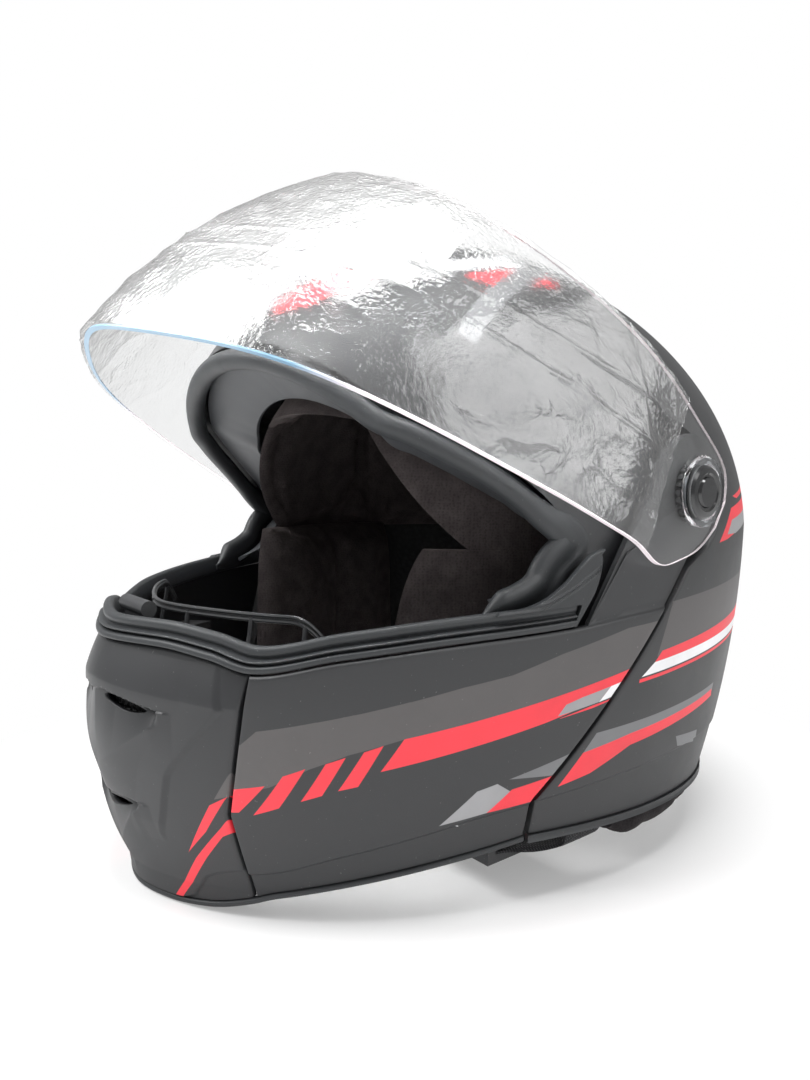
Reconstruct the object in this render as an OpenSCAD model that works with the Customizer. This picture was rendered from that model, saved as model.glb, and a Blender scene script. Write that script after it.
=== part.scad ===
// Flip-up (modular) motorcycle helmet, chin bar closed and visor raised.
// +Z is up, -Y is the wearer's front and +X the wearer's left. Millimetres.

/* [Outer shell] */
// Half width of the helmet at its widest line
half_w = 124; // [120:0.5:128]
// Height of the widest line above the table
wide_z = 138; // [134:1:142]
// Height of the crown
crown_z = 261; // [256:1:266]
// Length of the dome behind its centre
rear_len = 149; // [144:1:154]
// Length of the dome ahead of its centre
fore_len = 139; // [135:1:143]
// How far the crown leans forward
crown_lean = 17; // [12:1:20]
// How far the sides draw in towards the lower edge
side_tuck = 16.7; // [12:0.5:20]
// How far the back draws in towards the lower edge
rear_tuck = 31; // [24:1:36]
// Height of the lower edge at the parting line with the chin bar
edge_z = 28; // [25:1:31]
// Drop of the lower edge from the parting line to the back
edge_drop = 5; // [2:1:8]
// Wall of the outer shell
shell_t = 4; // [3.4:0.1:4.6]
// Depth of the side recess that the chin bar's arms lie in
arm_recess = 8.6; // [8.4:0.1:9.2]
// Height of the top of the eye port, at the middle
brow_z = 208; // [204:1:212]

/* [Chin bar] */
// Reach of the chin bar's front face ahead of the dome's centre
chin_len = 182; // [179:1:185]
// Reach of the side panels, if they ran on to the middle, at the rim
cheek_len = 200; // [196:1:204]
// How much shorter that reach is at the lower edge
cheek_tuck = 30; // [26:1:34]
// Slope of the front face away from the middle, in degrees
face_rake = 23; // [21:0.5:25]
// How far the front face draws in at the lower edge
chin_tuck = 14; // [10:1:18]
// Wall of the chin bar
bar_t = 3; // [2.6:0.1:3.2]
// Height of the rim under the eye port, at the middle
rim_z = 97; // [94:1:100]
// Rise of the rim from the middle to the arms
rim_rise = 10; // [8:1:12]
// Dip of the rim at the front panel's seams
rim_dip = 4.7; // [3:0.1:6]
// Distance from the pivot forward to the foot of the parting line
part_fwd = 67; // [63:1:70]
// Height at which the parting line turns upright
part_knee = 42; // [40:1:46]
// Gap along the parting line
part_gap = 1.9; // [1.8:0.1:2.6]
// Radius of the arm's round end about the pivot
pod_r = 22.5; // [21.5:0.5:23]
// Wall of the separate front panel
panel_t = 3; // [2.4:0.1:3.2]
// Width of the upper air slot
slot_w = 54; // [44:1:60]
// Height of both air slots
slot_h = 5; // [4:0.5:6]

/* [Pivot] */
// Distance of the pivot line behind the front-to-back middle
pivot_y = 24.6; // [24.4:0.1:24.8]
// Height of the pivot line
pivot_z = 154; // [152:0.5:156]
// Distance of the pivot line behind the dome's centre
pivot_back = 9; // [8:0.5:10]
// Radius of the pivot pin
pin_r = 6; // [5:0.25:7]
// Radial running clearance on the pivot pin
pin_fit = 0.06; // [0.03:0.01:0.1]
// Thickness of the steel hinge plate in each arm
plate_t = 2; // [1.6:0.1:2.1]
// Radius of the round cap over each pivot
cap_r = 10.5; // [9.5:0.5:11.5]
// Thickness of that cap
cap_t = 2.6; // [2.2:0.1:3]

/* [Visor] */
// Thickness of the visor
visor_t = 2; // [1.8:0.1:2.2]
// How far the visor stands raised from its closed place, in degrees
visor_rest = 32; // [28:1:36]
// Height of the visor's lower edge at the middle, when closed
visor_low = 101; // [99:1:103]
// Height of the visor's upper edge at the middle, when closed
visor_top = 208; // [205:1:211]
// Reach of the upper edge ahead of the dome's centre, when closed
visor_top_len = 139; // [137:1:142]
// Bulge of the visor between its two edges
visor_bulge = 8; // [6:0.5:10]
// Thickness of the protective film on the visor
film_t = 0.5; // [0.4:0.1:0.7]

/* [Lining] */
// Thickness of the energy absorbing liner
eps_t = 20; // [17:0.5:21]
// Thickness of the cheek pads
cheek_t = 20; // [16:1:24]
// Thickness of the crown and temple pads
pad_t = 9; // [7:0.5:10]
// Clearance between lining pieces
lay_gap = 0.6; // [0.5:0.1:0.8]
// Half width of the neck roll's section
roll_w = 11; // [9:0.5:12]
// Height of the neck roll
roll_h = 30; // [26:1:32]

/* [Fastening] */
// Width of the chin strap
strap_w = 22; // [18:1:25]
// Thickness of the chin strap
strap_t = 1.6; // [1.4:0.1:2]
// Radius of the latch pins
latch_r = 3.5; // [3:0.25:4]
// Length of the buckle housing
buckle_len = 38; // [34:1:42]

/* [Hidden] */

dome_y = pivot_y - pivot_back;
// Exponents of the plan outlines: back, front of the dome, chin bar side
rear_n = 2.2;
fore_n = 1.95;
cheek_n = 1.75;
corner_n = 18;
// Roundness of the chin bar's nose and of the visor's
tip = 0.09;
// Height over which the chin bar's side shape turns into the dome's
blend_z = [125, 185];
// Height over which the side recess runs out
recess_z = [165, 200];
// Fraction of the half perimeter, from parting line to middle, of the front panel's seam
seam_c = 0.72;
seam_low = 0.66;
arm_c = 0.2;
// Depth behind the front face at which the bar lies under the front panel
panel_seat = 6.5;
mesh_off = 5.2;
body_gap = 0.3;
// Height of the rubber edging and radius of the clear ring round each cap
edge_h = 2.4;
ring_r = cap_r + 2.8;
ring_lip = 1.6;
nc = 14;
nr = 15;

// Faces along x at the pivot, from the inside out
plate_x = half_w - 7;
base_x = plate_x - body_gap;
base_t = 2;
base_r = 15;
visor_x = half_w + 1.9;
pin_in_x = base_x - base_t - shell_t - 0.2;
detent_x = half_w - 1.1;
detent_r = 11;
stud_x = half_w - 1.8;
stud_r = 2;
fit = 0.02;
cap_x = visor_x + visor_t + body_gap;
// The liner's flat facets stand up to this far inside its true curve
seat_gap = 2.1;
cheek_gap = 1.5;
crown_gap = 1.3;
pad_off = arm_recess + shell_t + lay_gap;
eps_in = pad_off + eps_t;

function clamp(v) = min(max(v, 0), 1);
function ease(v) = let (c = clamp(v)) c * c * (3 - 2 * c);
function mix(a, b, w) = a + (b - a) * w;
function ramp(v, r) = ease((v - r[0]) / (r[1] - r[0]));
function low(z) = clamp((wide_z - z) / wide_z);
function flip(p) = [-p[0], p[1], p[2]];

// Outlines in plan, as a radius about the dome's centre at an azimuth t from +X to the front
function ellipse_r(t, a, b, n) = pow(pow(abs(cos(t)) / a, n) + pow(abs(sin(t)) / b, n), -1 / n);
function dome_k(z, o) = let (s = clamp((z - wide_z) / (crown_z - o - wide_z))) sqrt(max(1 - s * s, 0.0004));
function half_at(z) = half_w - side_tuck * pow(low(z), 2.2);
function cheek_at(z) = cheek_len - cheek_tuck * pow(clamp((100 - z) / 90), 1.3);
function face_at(z) = chin_len - chin_tuck * pow(clamp((70 - z) / 70), 2) - 5 * pow(clamp((z - 80) / 20), 1.5);
function dome_r(t, z, ox, o) = let (k = dome_k(z, o))
    sin(t) < 0 ? ellipse_r(t, (half_at(z) - ox) * k, (rear_len - o - rear_tuck * pow(low(z), 1.8)) * k, rear_n)
               : ellipse_r(t, (half_at(z) - ox) * k, (fore_len - o) * k, fore_n);
function face_r(t, z, o) = (face_at(z) - o) / (sin(t) + tan(face_rake) * (sqrt(cos(t) * cos(t) + tip * tip) - tip));
function bar_r(t, z, o) = t <= 0 ? ellipse_r(t, half_at(z) - o, rear_len - o, rear_n)
    : pow(pow(ellipse_r(t, half_at(z) - o, cheek_at(z) - o, cheek_n), -corner_n)
        + pow(face_r(t, z, o), -corner_n), -1 / corner_n);
function shell_r(t, z, o, d) = t <= 0 ? dome_r(t, z, o + d, o)
    : mix(bar_r(t, z, o + d), dome_r(t, z, o + d, o), ramp(z, blend_z));

function lean(z) = crown_lean * clamp((z - wide_z) / (crown_z - wide_z));
function bar_pt(t, z, o) = let (r = bar_r(t, z, o)) [r * cos(t), dome_y - r * sin(t), z];
function dome_pt(t, z, o) = let (r = dome_r(t, z, o, o)) [r * cos(t), dome_y - lean(z) - r * sin(t), z];
function shell_pt(t, z, o, d) = let (r = shell_r(t, z, o, d)) [r * cos(t), dome_y - lean(z) - r * sin(t), z];

// Parting line between shell and chin bar: its place along y at a height
part_slope = (part_fwd + pod_r * 0.25) / (pivot_z - pod_r - part_knee);
function part_y(z, fwd, r) = let (h = abs(z - pivot_z), ring = h < r ? sqrt(r * r - h * h) : -fwd)
    z < pivot_z ? pivot_y + max(ring, min(max(z - part_knee, 0) * part_slope - fwd, r))
                : pivot_y + (h < r ? ring : (r - h) / 2);
function az_of(y, z) = let (dy = dome_y - y, l = dy > 0 ? cheek_at(z) : rear_len, n = dy > 0 ? cheek_n : rear_n)
    atan2(dy, half_at(z) * pow(1 - pow(min(abs(dy) / l, 0.98), n), 1 / n));
function side_x(y, z, o) = let (dy = dome_y - y, l = (dy > 0 ? cheek_at(z) : rear_len) - o, n = dy > 0 ? cheek_n : rear_n)
    (half_at(z) - o) * pow(1 - pow(abs(dy) / l, n), 1 / n);
function seam_at(z) = mix(seam_low, seam_c, clamp(z / rim_z));
function warp(c, z) = c < seam_c ? c * seam_at(z) / seam_c : 1 - (1 - c) * (1 - seam_at(z)) / (1 - seam_c);
function bar_t_at(c, z) = mix(az_of(part_y(z, part_fwd + part_gap, pod_r), z), 90, warp(c, z));
function shell_t_at(c, z, dy) = let (tp = az_of(part_y(z, part_fwd, pod_r + 4.5) + dy, z))
    c <= 0 ? mix(tp, -90, -c) : mix(tp, 90, c);

// Heights of the edges, by the fraction c from the parting line to the middle
function port_z(c) = lookup(c, [[0, edge_z], [0.1, edge_z + 2], [2 / 7, rim_z + 5.5], [2.5 / 7, rim_z + 32], [3 / 7, rim_z + 50],
    [0.5, brow_z - 46], [0.6, brow_z - 27], [0.68, brow_z - 15], [0.78, brow_z - 6.5], [0.88, brow_z - 1.8],
    [0.95, brow_z - 0.3], [1, brow_z]]);
function shell_low(c) = c > 0 ? port_z(c) : edge_z - edge_drop * ease(-c);
function rim_at(c) = lookup(c, [[0.1, rim_z + rim_rise * 1.15], [0.21, rim_z + rim_rise * 0.9],
    [0.45, rim_z + rim_rise * 0.5], [0.6, rim_z + rim_rise * 0.07], [seam_c, rim_z - rim_dip],
    [0.79, rim_z - rim_dip * 0.3], [0.88, rim_z + 0.6], [1, rim_z]]);
function arm_top(c) = c < arm_c ? pivot_z + pod_r * sqrt(1 - pow(c / arm_c, 2)) : rim_at(c);
function bar_low(c) = lookup(c, [[0, edge_z], [0.32, edge_z * 0.75], [0.66, edge_z * 0.4], [0.82, edge_h + 1.5],
    [0.9, edge_h + 0.3], [1, edge_h + 0.3]]);

// A skin between an outer and an inner net of points, open, ringed, or ringed and closed at a pole
module skin(out, inn, ring = false, poles = []) {
    n = len(out);
    m = len(out[0]);
    o = function(i, j) (i % n) * m + j;
    q = function(i, j) n * m + (i % n) * m + j;
    spans = [0 : ring ? n - 1 : n - 2];
    rows = [0 : m - 2];
    pole = 2 * n * m;
    polyhedron(
        points = concat([for (c = out) each c], [for (c = inn) each c], poles),
        faces = concat(
            [for (i = spans, j = rows) each [[o(i, j), o(i + 1, j + 1), o(i + 1, j)],
                [o(i, j), o(i, j + 1), o(i + 1, j + 1)],
                [q(i, j), q(i + 1, j), q(i + 1, j + 1)],
                [q(i, j), q(i + 1, j + 1), q(i, j + 1)]]],
            [for (i = spans) each [[o(i, 0), o(i + 1, 0), q(i + 1, 0)], [o(i, 0), q(i + 1, 0), q(i, 0)]]],
            len(poles) > 0
                ? [for (i = spans) each [[o(i, m - 1), pole, o(i + 1, m - 1)], [q(i + 1, m - 1), pole + 1, q(i, m - 1)]]]
                : [for (i = spans) each [[o(i, m - 1), q(i + 1, m - 1), o(i + 1, m - 1)],
                    [o(i, m - 1), q(i, m - 1), q(i + 1, m - 1)]]],
            ring ? [] : [for (j = rows) each [[o(0, j), q(0, j + 1), o(0, j + 1)], [o(0, j), q(0, j), q(0, j + 1)],
                [o(n - 1, j), o(n - 1, j + 1), q(n - 1, j + 1)], [o(n - 1, j), q(n - 1, j + 1), q(n - 1, j)]]]));
}

// A solid bar through a row of like rings of points, its two ends closed by fans
module loft(rings) {
    n = len(rings);
    k = len(rings[0]);
    mid = function(r) [for (a = [0 : 2]) [for (p = r) p[a]] * [for (p = r) 1] / k];
    polyhedron(
        points = concat([for (r = rings) each r], [mid(rings[0]), mid(rings[n - 1])]),
        faces = concat(
            [for (i = [0 : n - 2], j = [0 : k - 1]) each [
                [i * k + j, (i + 1) * k + (j + 1) % k, (i + 1) * k + j],
                [i * k + j, i * k + (j + 1) % k, (i + 1) * k + (j + 1) % k]]],
            [for (j = [0 : k - 1]) [n * k, (j + 1) % k, j]],
            [for (j = [0 : k - 1]) [n * k + 1, (n - 1) * k + j, (n - 1) * k + (j + 1) % k]]));
}

// Columns of the left side joined to their mirror images: right arm to left arm, or all the way round
function span(cs, f) = let (a = [for (c = cs) f(c)], n = len(a)) concat(
    [for (col = a) [for (p = col) flip(p)]], [for (i = [n - 2 : -1 : 0]) a[i]]);
function ringed(cols) = concat(cols, [for (i = [len(cols) - 2 : -1 : 1]) [for (p = cols[i]) flip(p)]]);
module on_side(s) mirror([s < 0 ? 1 : 0, 0, 0]) children();

// The outer shell: one glass-fibre-like moulding with a side recess for each arm
shell_cs = concat([for (i = [nc : -1 : 1]) i / nc], [0.001, 0], [for (i = [1 : 11]) -i / 11]);
function shell_row(j) = sin(90 * j / nr);
function recess_at(c, z) = c > 0 ? arm_recess * (1 - ramp(z, recess_z)) : 0;
function shell_col(c, o, dy) = let (z0 = shell_low(c)) [for (j = [0 : nr - 1])
    let (z = mix(z0, crown_z - o, shell_row(j)), step = c > 0 ? -1 : 0)
    shell_pt(shell_t_at(c, z, dy + step), z, o, recess_at(c, z))];
module x_rod(x0, x1, y, z, r) for (s = [-1, 1]) on_side(s) translate([x0, y, z]) rotate([0, 90, 0])
    cylinder(h = x1 - x0, r = r, $fn = 64);
module shell() color([0.27, 0.29, 0.3]) difference() {
    skin(ringed([for (c = shell_cs) shell_col(c, 0, 0)]),
        ringed([for (c = shell_cs) shell_col(c, shell_t, 3)]), ring = true,
        poles = [[0, dome_y - crown_lean, crown_z], [0, dome_y - crown_lean, crown_z - shell_t]]);
    x_rod(base_x - base_t - 0.05, half_w + 10, pivot_y, pivot_z, base_r + 0.2);
    x_rod(pin_in_x - 3, half_w, pivot_y, pivot_z, pin_r + fit);
    x_rod(latch_x - 4, latch_wall + latch_in + 0.05, latch_y, latch_z, latch_r + fit);
    x_rod(anchor_x - 6, anchor_x + anchor_in + 0.05, anchor_y, anchor_z, anchor_r + fit);
}

// The energy absorbing liner under the shell
eps_cs = concat([for (i = [12 : -1 : 0]) i / 12], [for (i = [1 : 8]) -i / 8]);
function eps_low(c) = lookup(c, [[-1, edge_z + 22], [-0.3, edge_z + 16], [-0.1, edge_z + 16], [0, edge_z + 38], [0.04, edge_z + 50],
    [0.15, rim_z + 2], [0.3, rim_z + 27], [0.36, rim_z + 46], [0.42, brow_z - 58], [0.55, brow_z - 36],
    [0.72, brow_z - 6], [0.88, brow_z + 3], [1, brow_z + 7]]);
function eps_col(c, ox, oy, dz) = let (z0 = eps_low(c)) [for (j = [0 : 8])
    let (z = mix(z0, crown_z - dz, sin(10 * j)), t = shell_t_at(c, z, 0), r = dome_r(t, z, ox, oy))
    [r * cos(t), dome_y - lean(z) - r * sin(t), z]];
module eps_liner() color([0.15, 0.15, 0.16])
    skin(ringed([for (c = eps_cs) eps_col(c, pad_off, shell_t + lay_gap, shell_t + lay_gap)]),
        ringed([for (c = eps_cs) eps_col(c, eps_in, eps_in, eps_in)]), ring = true,
        poles = [[0, dome_y - crown_lean, crown_z - shell_t - lay_gap], [0, dome_y - crown_lean, crown_z - eps_in]]);

// Frame on the shell's edge round the eye port: point, way into the port and way outward
function edge_pt(c, o) = let (z = port_z(c)) shell_pt(shell_t_at(c, z, 0), z, o, recess_at(max(c, 0.001), z));
function unit(v) = v / norm(v);
function port_frame(c) = let (p = edge_pt(c, shell_t / 2), t = unit(edge_pt(min(c + 0.02, 1.02), shell_t / 2)
    - edge_pt(c - 0.02, shell_t / 2)), m = unit([p[0], p[1] - dome_y, (p[2] - wide_z) * 0.9]), w = unit(cross(t, m)))
    [p, w, unit(cross(w, t))];
port_cs = [for (i = [0 : 22]) 1 - i * 0.68 / 22];
function port_ring(c, pts) = let (f = port_frame(c))
    [for (p = pts) f[0] + f[1] * p[0] + f[2] * p[1]];

// Rubber edge trim round the eye port
gasket_r = 4.2;
module port_gasket() color([0.16, 0.17, 0.18]) {
    section = [for (i = [0 : 7]) gasket_r * [cos(45 * i) - 1.52, sin(45 * i)]];
    left = [for (c = port_cs) port_ring(c, section)];
    loft(concat([for (i = [len(left) - 1 : -1 : 0]) left[i]], [for (i = [1 : len(left) - 1]) [for (p = left[i]) flip(p)]]));
}

// Moulded trim that covers the liner's edge between the rubber and the pads
module brow_trim() color([0.33, 0.34, 0.36]) {
    depth = eps_in - shell_t;
    left = [for (c = port_cs) port_ring(c, [[0.2, -gasket_r * 1.1], [-2.2, -gasket_r * 1.1], [-6, -depth], [-3.6, -depth]])];
    loft(concat([for (i = [len(left) - 1 : -1 : 0]) left[i]], [for (i = [1 : len(left) - 1]) [for (p = left[i]) flip(p)]]));
}

// Rubber edge trim along the shell's lower edge
module rear_trim() color([0.14, 0.15, 0.16]) {
    cs = [for (i = [0 : 14]) -i / 14];
    sec = [[-0.9, 0.3], [-0.9, 3.2], [shell_t + 0.9, 3.2], [shell_t + 0.9, 0.3]];
    left = [for (c = cs) let (z = shell_low(c) - 0.3) [for (s = sec)
        let (t = shell_t_at(c, z, 0), p = shell_pt(t, z, s[0] > 0 ? s[0] - 1.4 : s[0] + 1.4, 0)) [p[0], p[1], z - s[1] + 0.3]]];
    n = len(left);
    loft(concat([for (i = [0 : n - 1]) [for (p = left[i]) flip(p)]], [for (i = [n - 2 : -1 : 0]) left[i]]));
}

// Pad on the inside of the liner: crowned, drawn in at its edge, with sewn channels along u
function swell(u, v, n) = let (e = (1 - pow(abs(2 * u - 1), 4)) * (1 - pow(abs(2 * v - 1), 4)))
    sqrt(e) * (n > 0 ? 1 - 0.16 * pow(abs(cos(180 * n * u)), 12) : 1);
module pad(ta, tb, za, zb, t, cols, rows, n, gap) {
    net = function(face) [for (i = [0 : cols]) let (u = i / cols) [for (j = [0 : rows])
        let (v = j / rows, z = mix(za(u), zb(u), v),
            az = mix(ta(v), tb(v), 0.5 + (u - 0.5) * (1 - 0.2 * pow(abs(2 * v - 1), 4))),
            o = eps_in + gap + (face > 0 ? t * (0.25 + 0.75 * swell(u, v, n)) : 0)) dome_pt(az, z, o)]];
    skin(net(0), net(1));
}

module crown_pad() color([0.19, 0.17, 0.17]) {
    cs = [for (i = [0 : 16]) 90 - i * 180 / 16];
    base = eps_in + crown_gap;
    net = function(face) [for (t = cs) [for (j = [0 : 6])
        let (o = base + face * pad_t * (0.35 + 0.65 * ease(j / 1.5)) * (1 - 0.14 * pow(abs(cos(4 * t)), 10)),
            z = mix(brow_z + 2, crown_z - o, sin(13.5 * j)))
        dome_pt(t, z, o)]];
    skin(ringed(net(0)), ringed(net(1)), ring = true,
        poles = [[0, dome_y - crown_lean, crown_z - base], [0, dome_y - crown_lean, crown_z - base - pad_t]]);
}
module brow_pad() color([0.2, 0.17, 0.17])
    pad(function(v) 138, function(v) 42, function(u) brow_z - 40, function(u) brow_z - 5, pad_t, 22, 7, 3, seat_gap);
module temple_pad(s) color([0.2, 0.17, 0.17]) on_side(s)
    pad(function(v) mix(24, 40, v), function(v) -62, function(u) rim_z + 36, function(u) brow_z - 8, pad_t, 14, 8, 2, seat_gap);
module cheek_pad(s) color([0.18, 0.16, 0.16]) on_side(s)
    pad(function(v) mix(45, 27, v), function(v) -16, function(u) edge_z + 14, function(u) rim_z + 30, cheek_t, 14, 10, 2, cheek_gap);

// Padded collar round the back of the neck opening, pressed flat where it stands
roll_foot = 1.8;
module neck_roll() color([0.17, 0.16, 0.17]) {
    ts = [for (i = [0 : 18]) mix(4, -90, i / 18)];
    ring = function(t, i) let (s = (i == 0 ? 0.55 : 1) * (1 - 0.07 * pow(abs(cos(180 * (i + 1) / 3)), 8)))
        [for (a = [0 : 9]) let (p = dome_pt(t, edge_z - 4, shell_t - 2.4 + roll_w * (1.12 - s * cos(36 * a))))
            [p[0], p[1], max(0, roll_h / 2 - roll_foot + s * (roll_h / 2) * sin(36 * a))]];
    left = [for (i = [0 : 18]) ring(ts[i], i)];
    loft(concat(left, [for (i = [17 : -1 : 0]) [for (p = left[i]) flip(p)]]));
}

// Pivot pin with its base plate, fixed through the shell's side
module pivot_pin(s) color("silver") on_side(s) translate([0, pivot_y, pivot_z]) rotate([0, 90, 0]) {
    translate([0, 0, base_x - base_t]) cylinder(h = base_t, r = base_r, $fn = 64);
    translate([0, 0, pin_in_x]) cylinder(h = cap_x - pin_in_x, r = pin_r, $fn = 64);
}
module pivot_cap(s) color([0.12, 0.12, 0.13]) on_side(s) translate([cap_x, pivot_y, pivot_z]) rotate([0, 90, 0])
    rotate_extrude($fn = 64) polygon([[0, 0], [cap_r, 0], [cap_r, cap_t * 0.4], [cap_r - 1, cap_t * 0.75],
        [cap_r - 3, cap_t * 0.85], [cap_r - 3.6, cap_t * 0.6], [cap_r - 4.4, cap_t * 0.6], [cap_r - 5, cap_t], [0, cap_t]]);

// Steel hinge plate inside each arm, with the bore that runs on the pin and four studs into the arm
module hinge_plate(s) color("gray") on_side(s) translate([plate_x, pivot_y, pivot_z]) rotate([0, 90, 0])
    difference() {
        union() {
            cylinder(h = plate_t, r = pod_r - 3, $fn = 64);
            for (a = [45 : 90 : 315]) rotate([0, 0, a]) translate([pod_r - 8, 0, 0])
                cylinder(h = stud_x - plate_x, r = stud_r, $fn = 32);
        }
        translate([0, 0, -1]) cylinder(h = plate_t + 2, r = pin_r + pin_fit, $fn = 64);
    }

// Toothed detent ring on the arm, under the visor
module detent_ring(s) color([0.2, 0.2, 0.21]) on_side(s)
    translate([detent_x + 0.05, pivot_y, pivot_z]) rotate([0, 90, 0])
        linear_extrude(visor_x - body_gap - detent_x - 0.05) difference() {
            union() {
                circle(r = detent_r, $fn = 64);
                for (a = [200 : 14 : 340]) rotate(a) translate([detent_r - 1, -0.8]) square([2.4, 1.6]);
            }
            circle(r = pin_r + 0.5, $fn = 64);
        }

// Latch: a steel pin pressed into each side of the shell, and a hook on the bar beside it
latch_y = pivot_y - part_fwd - 3;
latch_z = 50;
latch_len = 6;
latch_in = 2.5;
latch_wall = side_x(latch_y, latch_z, arm_recess + shell_t);
latch_x = latch_wall - latch_len;
module striker(s) color("silver") on_side(s) translate([latch_x, latch_y, latch_z]) rotate([0, 90, 0]) {
    cylinder(h = latch_len + latch_in, r = latch_r, $fn = 48);
    cylinder(h = 1.5, r = latch_r + 1.5, $fn = 48);
}
hook_t = 4;
hook_x = latch_x - 0.6 - hook_t;
hook_y = latch_y - 24;
hook_z = latch_z - 12;
hook_pin_r = 2.5;
hook_in = 1.5;
module latch_hook(s) color("gray") on_side(s) translate([hook_x, 0, 0]) rotate([90, 0, 90])
    linear_extrude(hook_t) difference() {
        union() {
            translate([hook_y, hook_z]) circle(r = 6, $fn = 48);
            translate([hook_y, hook_z - 3]) square([20, 7]);
            polygon([[hook_y + 14, hook_z + 4], [hook_y + 20, hook_z + 4], [latch_y + latch_r + 3, latch_z - 2],
                [latch_y + latch_r + 3, latch_z + latch_r + 5], [latch_y - 1, latch_z + latch_r + 5],
                [latch_y - 1, latch_z + latch_r + 0.6], [latch_y + latch_r + 0.6, latch_z],
                [hook_y + 14, hook_z + 6]]);
        }
        translate([hook_y, hook_z]) circle(r = hook_pin_r + pin_fit, $fn = 48);
    }
hook_wall = side_x(hook_y, hook_z, bar_t);
module hook_pin(s) color("silver") on_side(s) translate([hook_x - 1, hook_y, hook_z]) rotate([0, 90, 0]) {
    cylinder(h = hook_wall + hook_in - hook_x + 1, r = hook_pin_r, $fn = 48);
    translate([0, 0, hook_t + 1.3]) cylinder(h = 0.8, r = 5, $fn = 48);
}

// Chin strap anchors, straps and the quick release buckle
anchor_y = pivot_y - 32;
anchor_z = edge_z + 7;
anchor_x = side_x(anchor_y, anchor_z, shell_t) - 2.3;
anchor_r = 3;
anchor_in = 2.2;
module strap_anchor(s) color("silver") on_side(s) translate([anchor_x - 1.5, anchor_y, anchor_z]) rotate([0, 90, 0]) {
    translate([-5, -8, 0]) cube([10, 16, 1.5]);
    cylinder(h = anchor_in + 1.5, r = anchor_r, $fn = 48);
}
buckle_x = 52;
buckle_y = pivot_y - 60;
buckle_z = 12;
tongue_len = 46;
tongue_off = 20;
module ribbon(pts) loft([for (p = pts) let (w = p[3] / 2, h = strap_t / 2, n = p[4])
    [[p[0] - n[0] * h, p[1] - w, p[2] - n[1] * h], [p[0] + n[0] * h, p[1] - w, p[2] + n[1] * h],
        [p[0] + n[0] * h, p[1] + w, p[2] + n[1] * h], [p[0] - n[0] * h, p[1] + w, p[2] - n[1] * h]]]);
function strap_side() = let (x = anchor_x - 1.5 - 0.2 - strap_t / 2) [
    [x, anchor_y, anchor_z + 4, strap_w, [1, 0]], [x - 1, anchor_y, anchor_z - 8, strap_w, [1, 0]],
    [x - 2.5, anchor_y - 2, anchor_z - 18, strap_w, unit([1, -0.35])]];
module strap_left() color([0.13, 0.13, 0.14]) ribbon(concat(strap_side(), [
    [anchor_x - 9, anchor_y - 12, buckle_z + 4, strap_w, unit([1, -1.6])],
    [buckle_x + buckle_len + 2, buckle_y + 4, buckle_z + 4.2, strap_w - 4, unit([0.1, -1])],
    [buckle_x + buckle_len + 0.2, buckle_y, buckle_z + 4, strap_w - 4, [0, -1]]]));
module strap_right() color([0.13, 0.13, 0.14]) mirror([1, 0, 0]) ribbon(concat(strap_side(), [
    [anchor_x - 9, anchor_y - 12, buckle_z + 4, strap_w, unit([1, -1.6])],
    [anchor_x - 30, anchor_y - 24, buckle_z + 2.5, strap_w, unit([0.1, -1])],
    [buckle_x - 12, buckle_y + 1, buckle_z + 2, strap_w - 2, [0, -1]],
    [0, buckle_y, buckle_z + 3, strap_w - 6, [0, -1]],
    [tongue_off - buckle_x + 0.2, buckle_y, buckle_z + tongue_z + tongue_t / 2, strap_w - 8, [0, -1]]]));
buckle_w = 26;
buckle_h = 8;
tongue_w = 16;
tongue_t = 1.8;
tongue_z = 2.8;
lever_w = 13.2;
lever_z = 5.5;
lever_pin = [7, 6.6];
lever_pin_r = 1.5;
lever_back = 1.3;
module buckle_housing() color([0.13, 0.13, 0.14]) translate([buckle_x, buckle_y, buckle_z]) difference() {
    translate([0, -buckle_w / 2, 0]) cube([buckle_len, buckle_w, buckle_h]);
    translate([-1, -tongue_w / 2 - 0.4, tongue_z - 0.4]) cube([buckle_len - 8, tongue_w + 0.8, tongue_t + 1]);
    translate([-1, -lever_w / 2 - 0.4, tongue_z + tongue_t + 0.4]) cube([buckle_len, lever_w + 0.8, buckle_h]);
    translate([lever_pin[0], buckle_w / 2 + 1, lever_pin[1]]) rotate([90, 0, 0])
        cylinder(h = buckle_w + 2, r = lever_pin_r + pin_fit, $fn = 32);
}
module buckle_tongue() color([0.18, 0.18, 0.19]) translate([buckle_x - tongue_off, buckle_y, buckle_z + tongue_z])
    difference() {
        translate([0, -tongue_w / 2, 0]) cube([tongue_len, tongue_w, tongue_t]);
        for (i = [0 : 9]) translate([24 + i * 2.2, -5, tongue_t - 0.6]) cube([1.1, 10, 1]);
    }
module buckle_lever() color([0.85, 0.1, 0.14]) translate([buckle_x, buckle_y, buckle_z]) {
    translate([lever_pin[0], buckle_w / 2 - 0.1, lever_pin[1]]) rotate([90, 0, 0])
        cylinder(h = buckle_w - 0.2, r = lever_pin_r, $fn = 32);
    translate([lever_pin[0] - lever_back, -lever_w / 2, lever_z])
        cube([buckle_len - 1.5 - lever_pin[0] + lever_back, lever_w, 2.6]);
    translate([buckle_len - 8, -lever_w / 2, lever_z + 2.5]) cube([6.5, lever_w, 1.2]);
}

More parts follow.
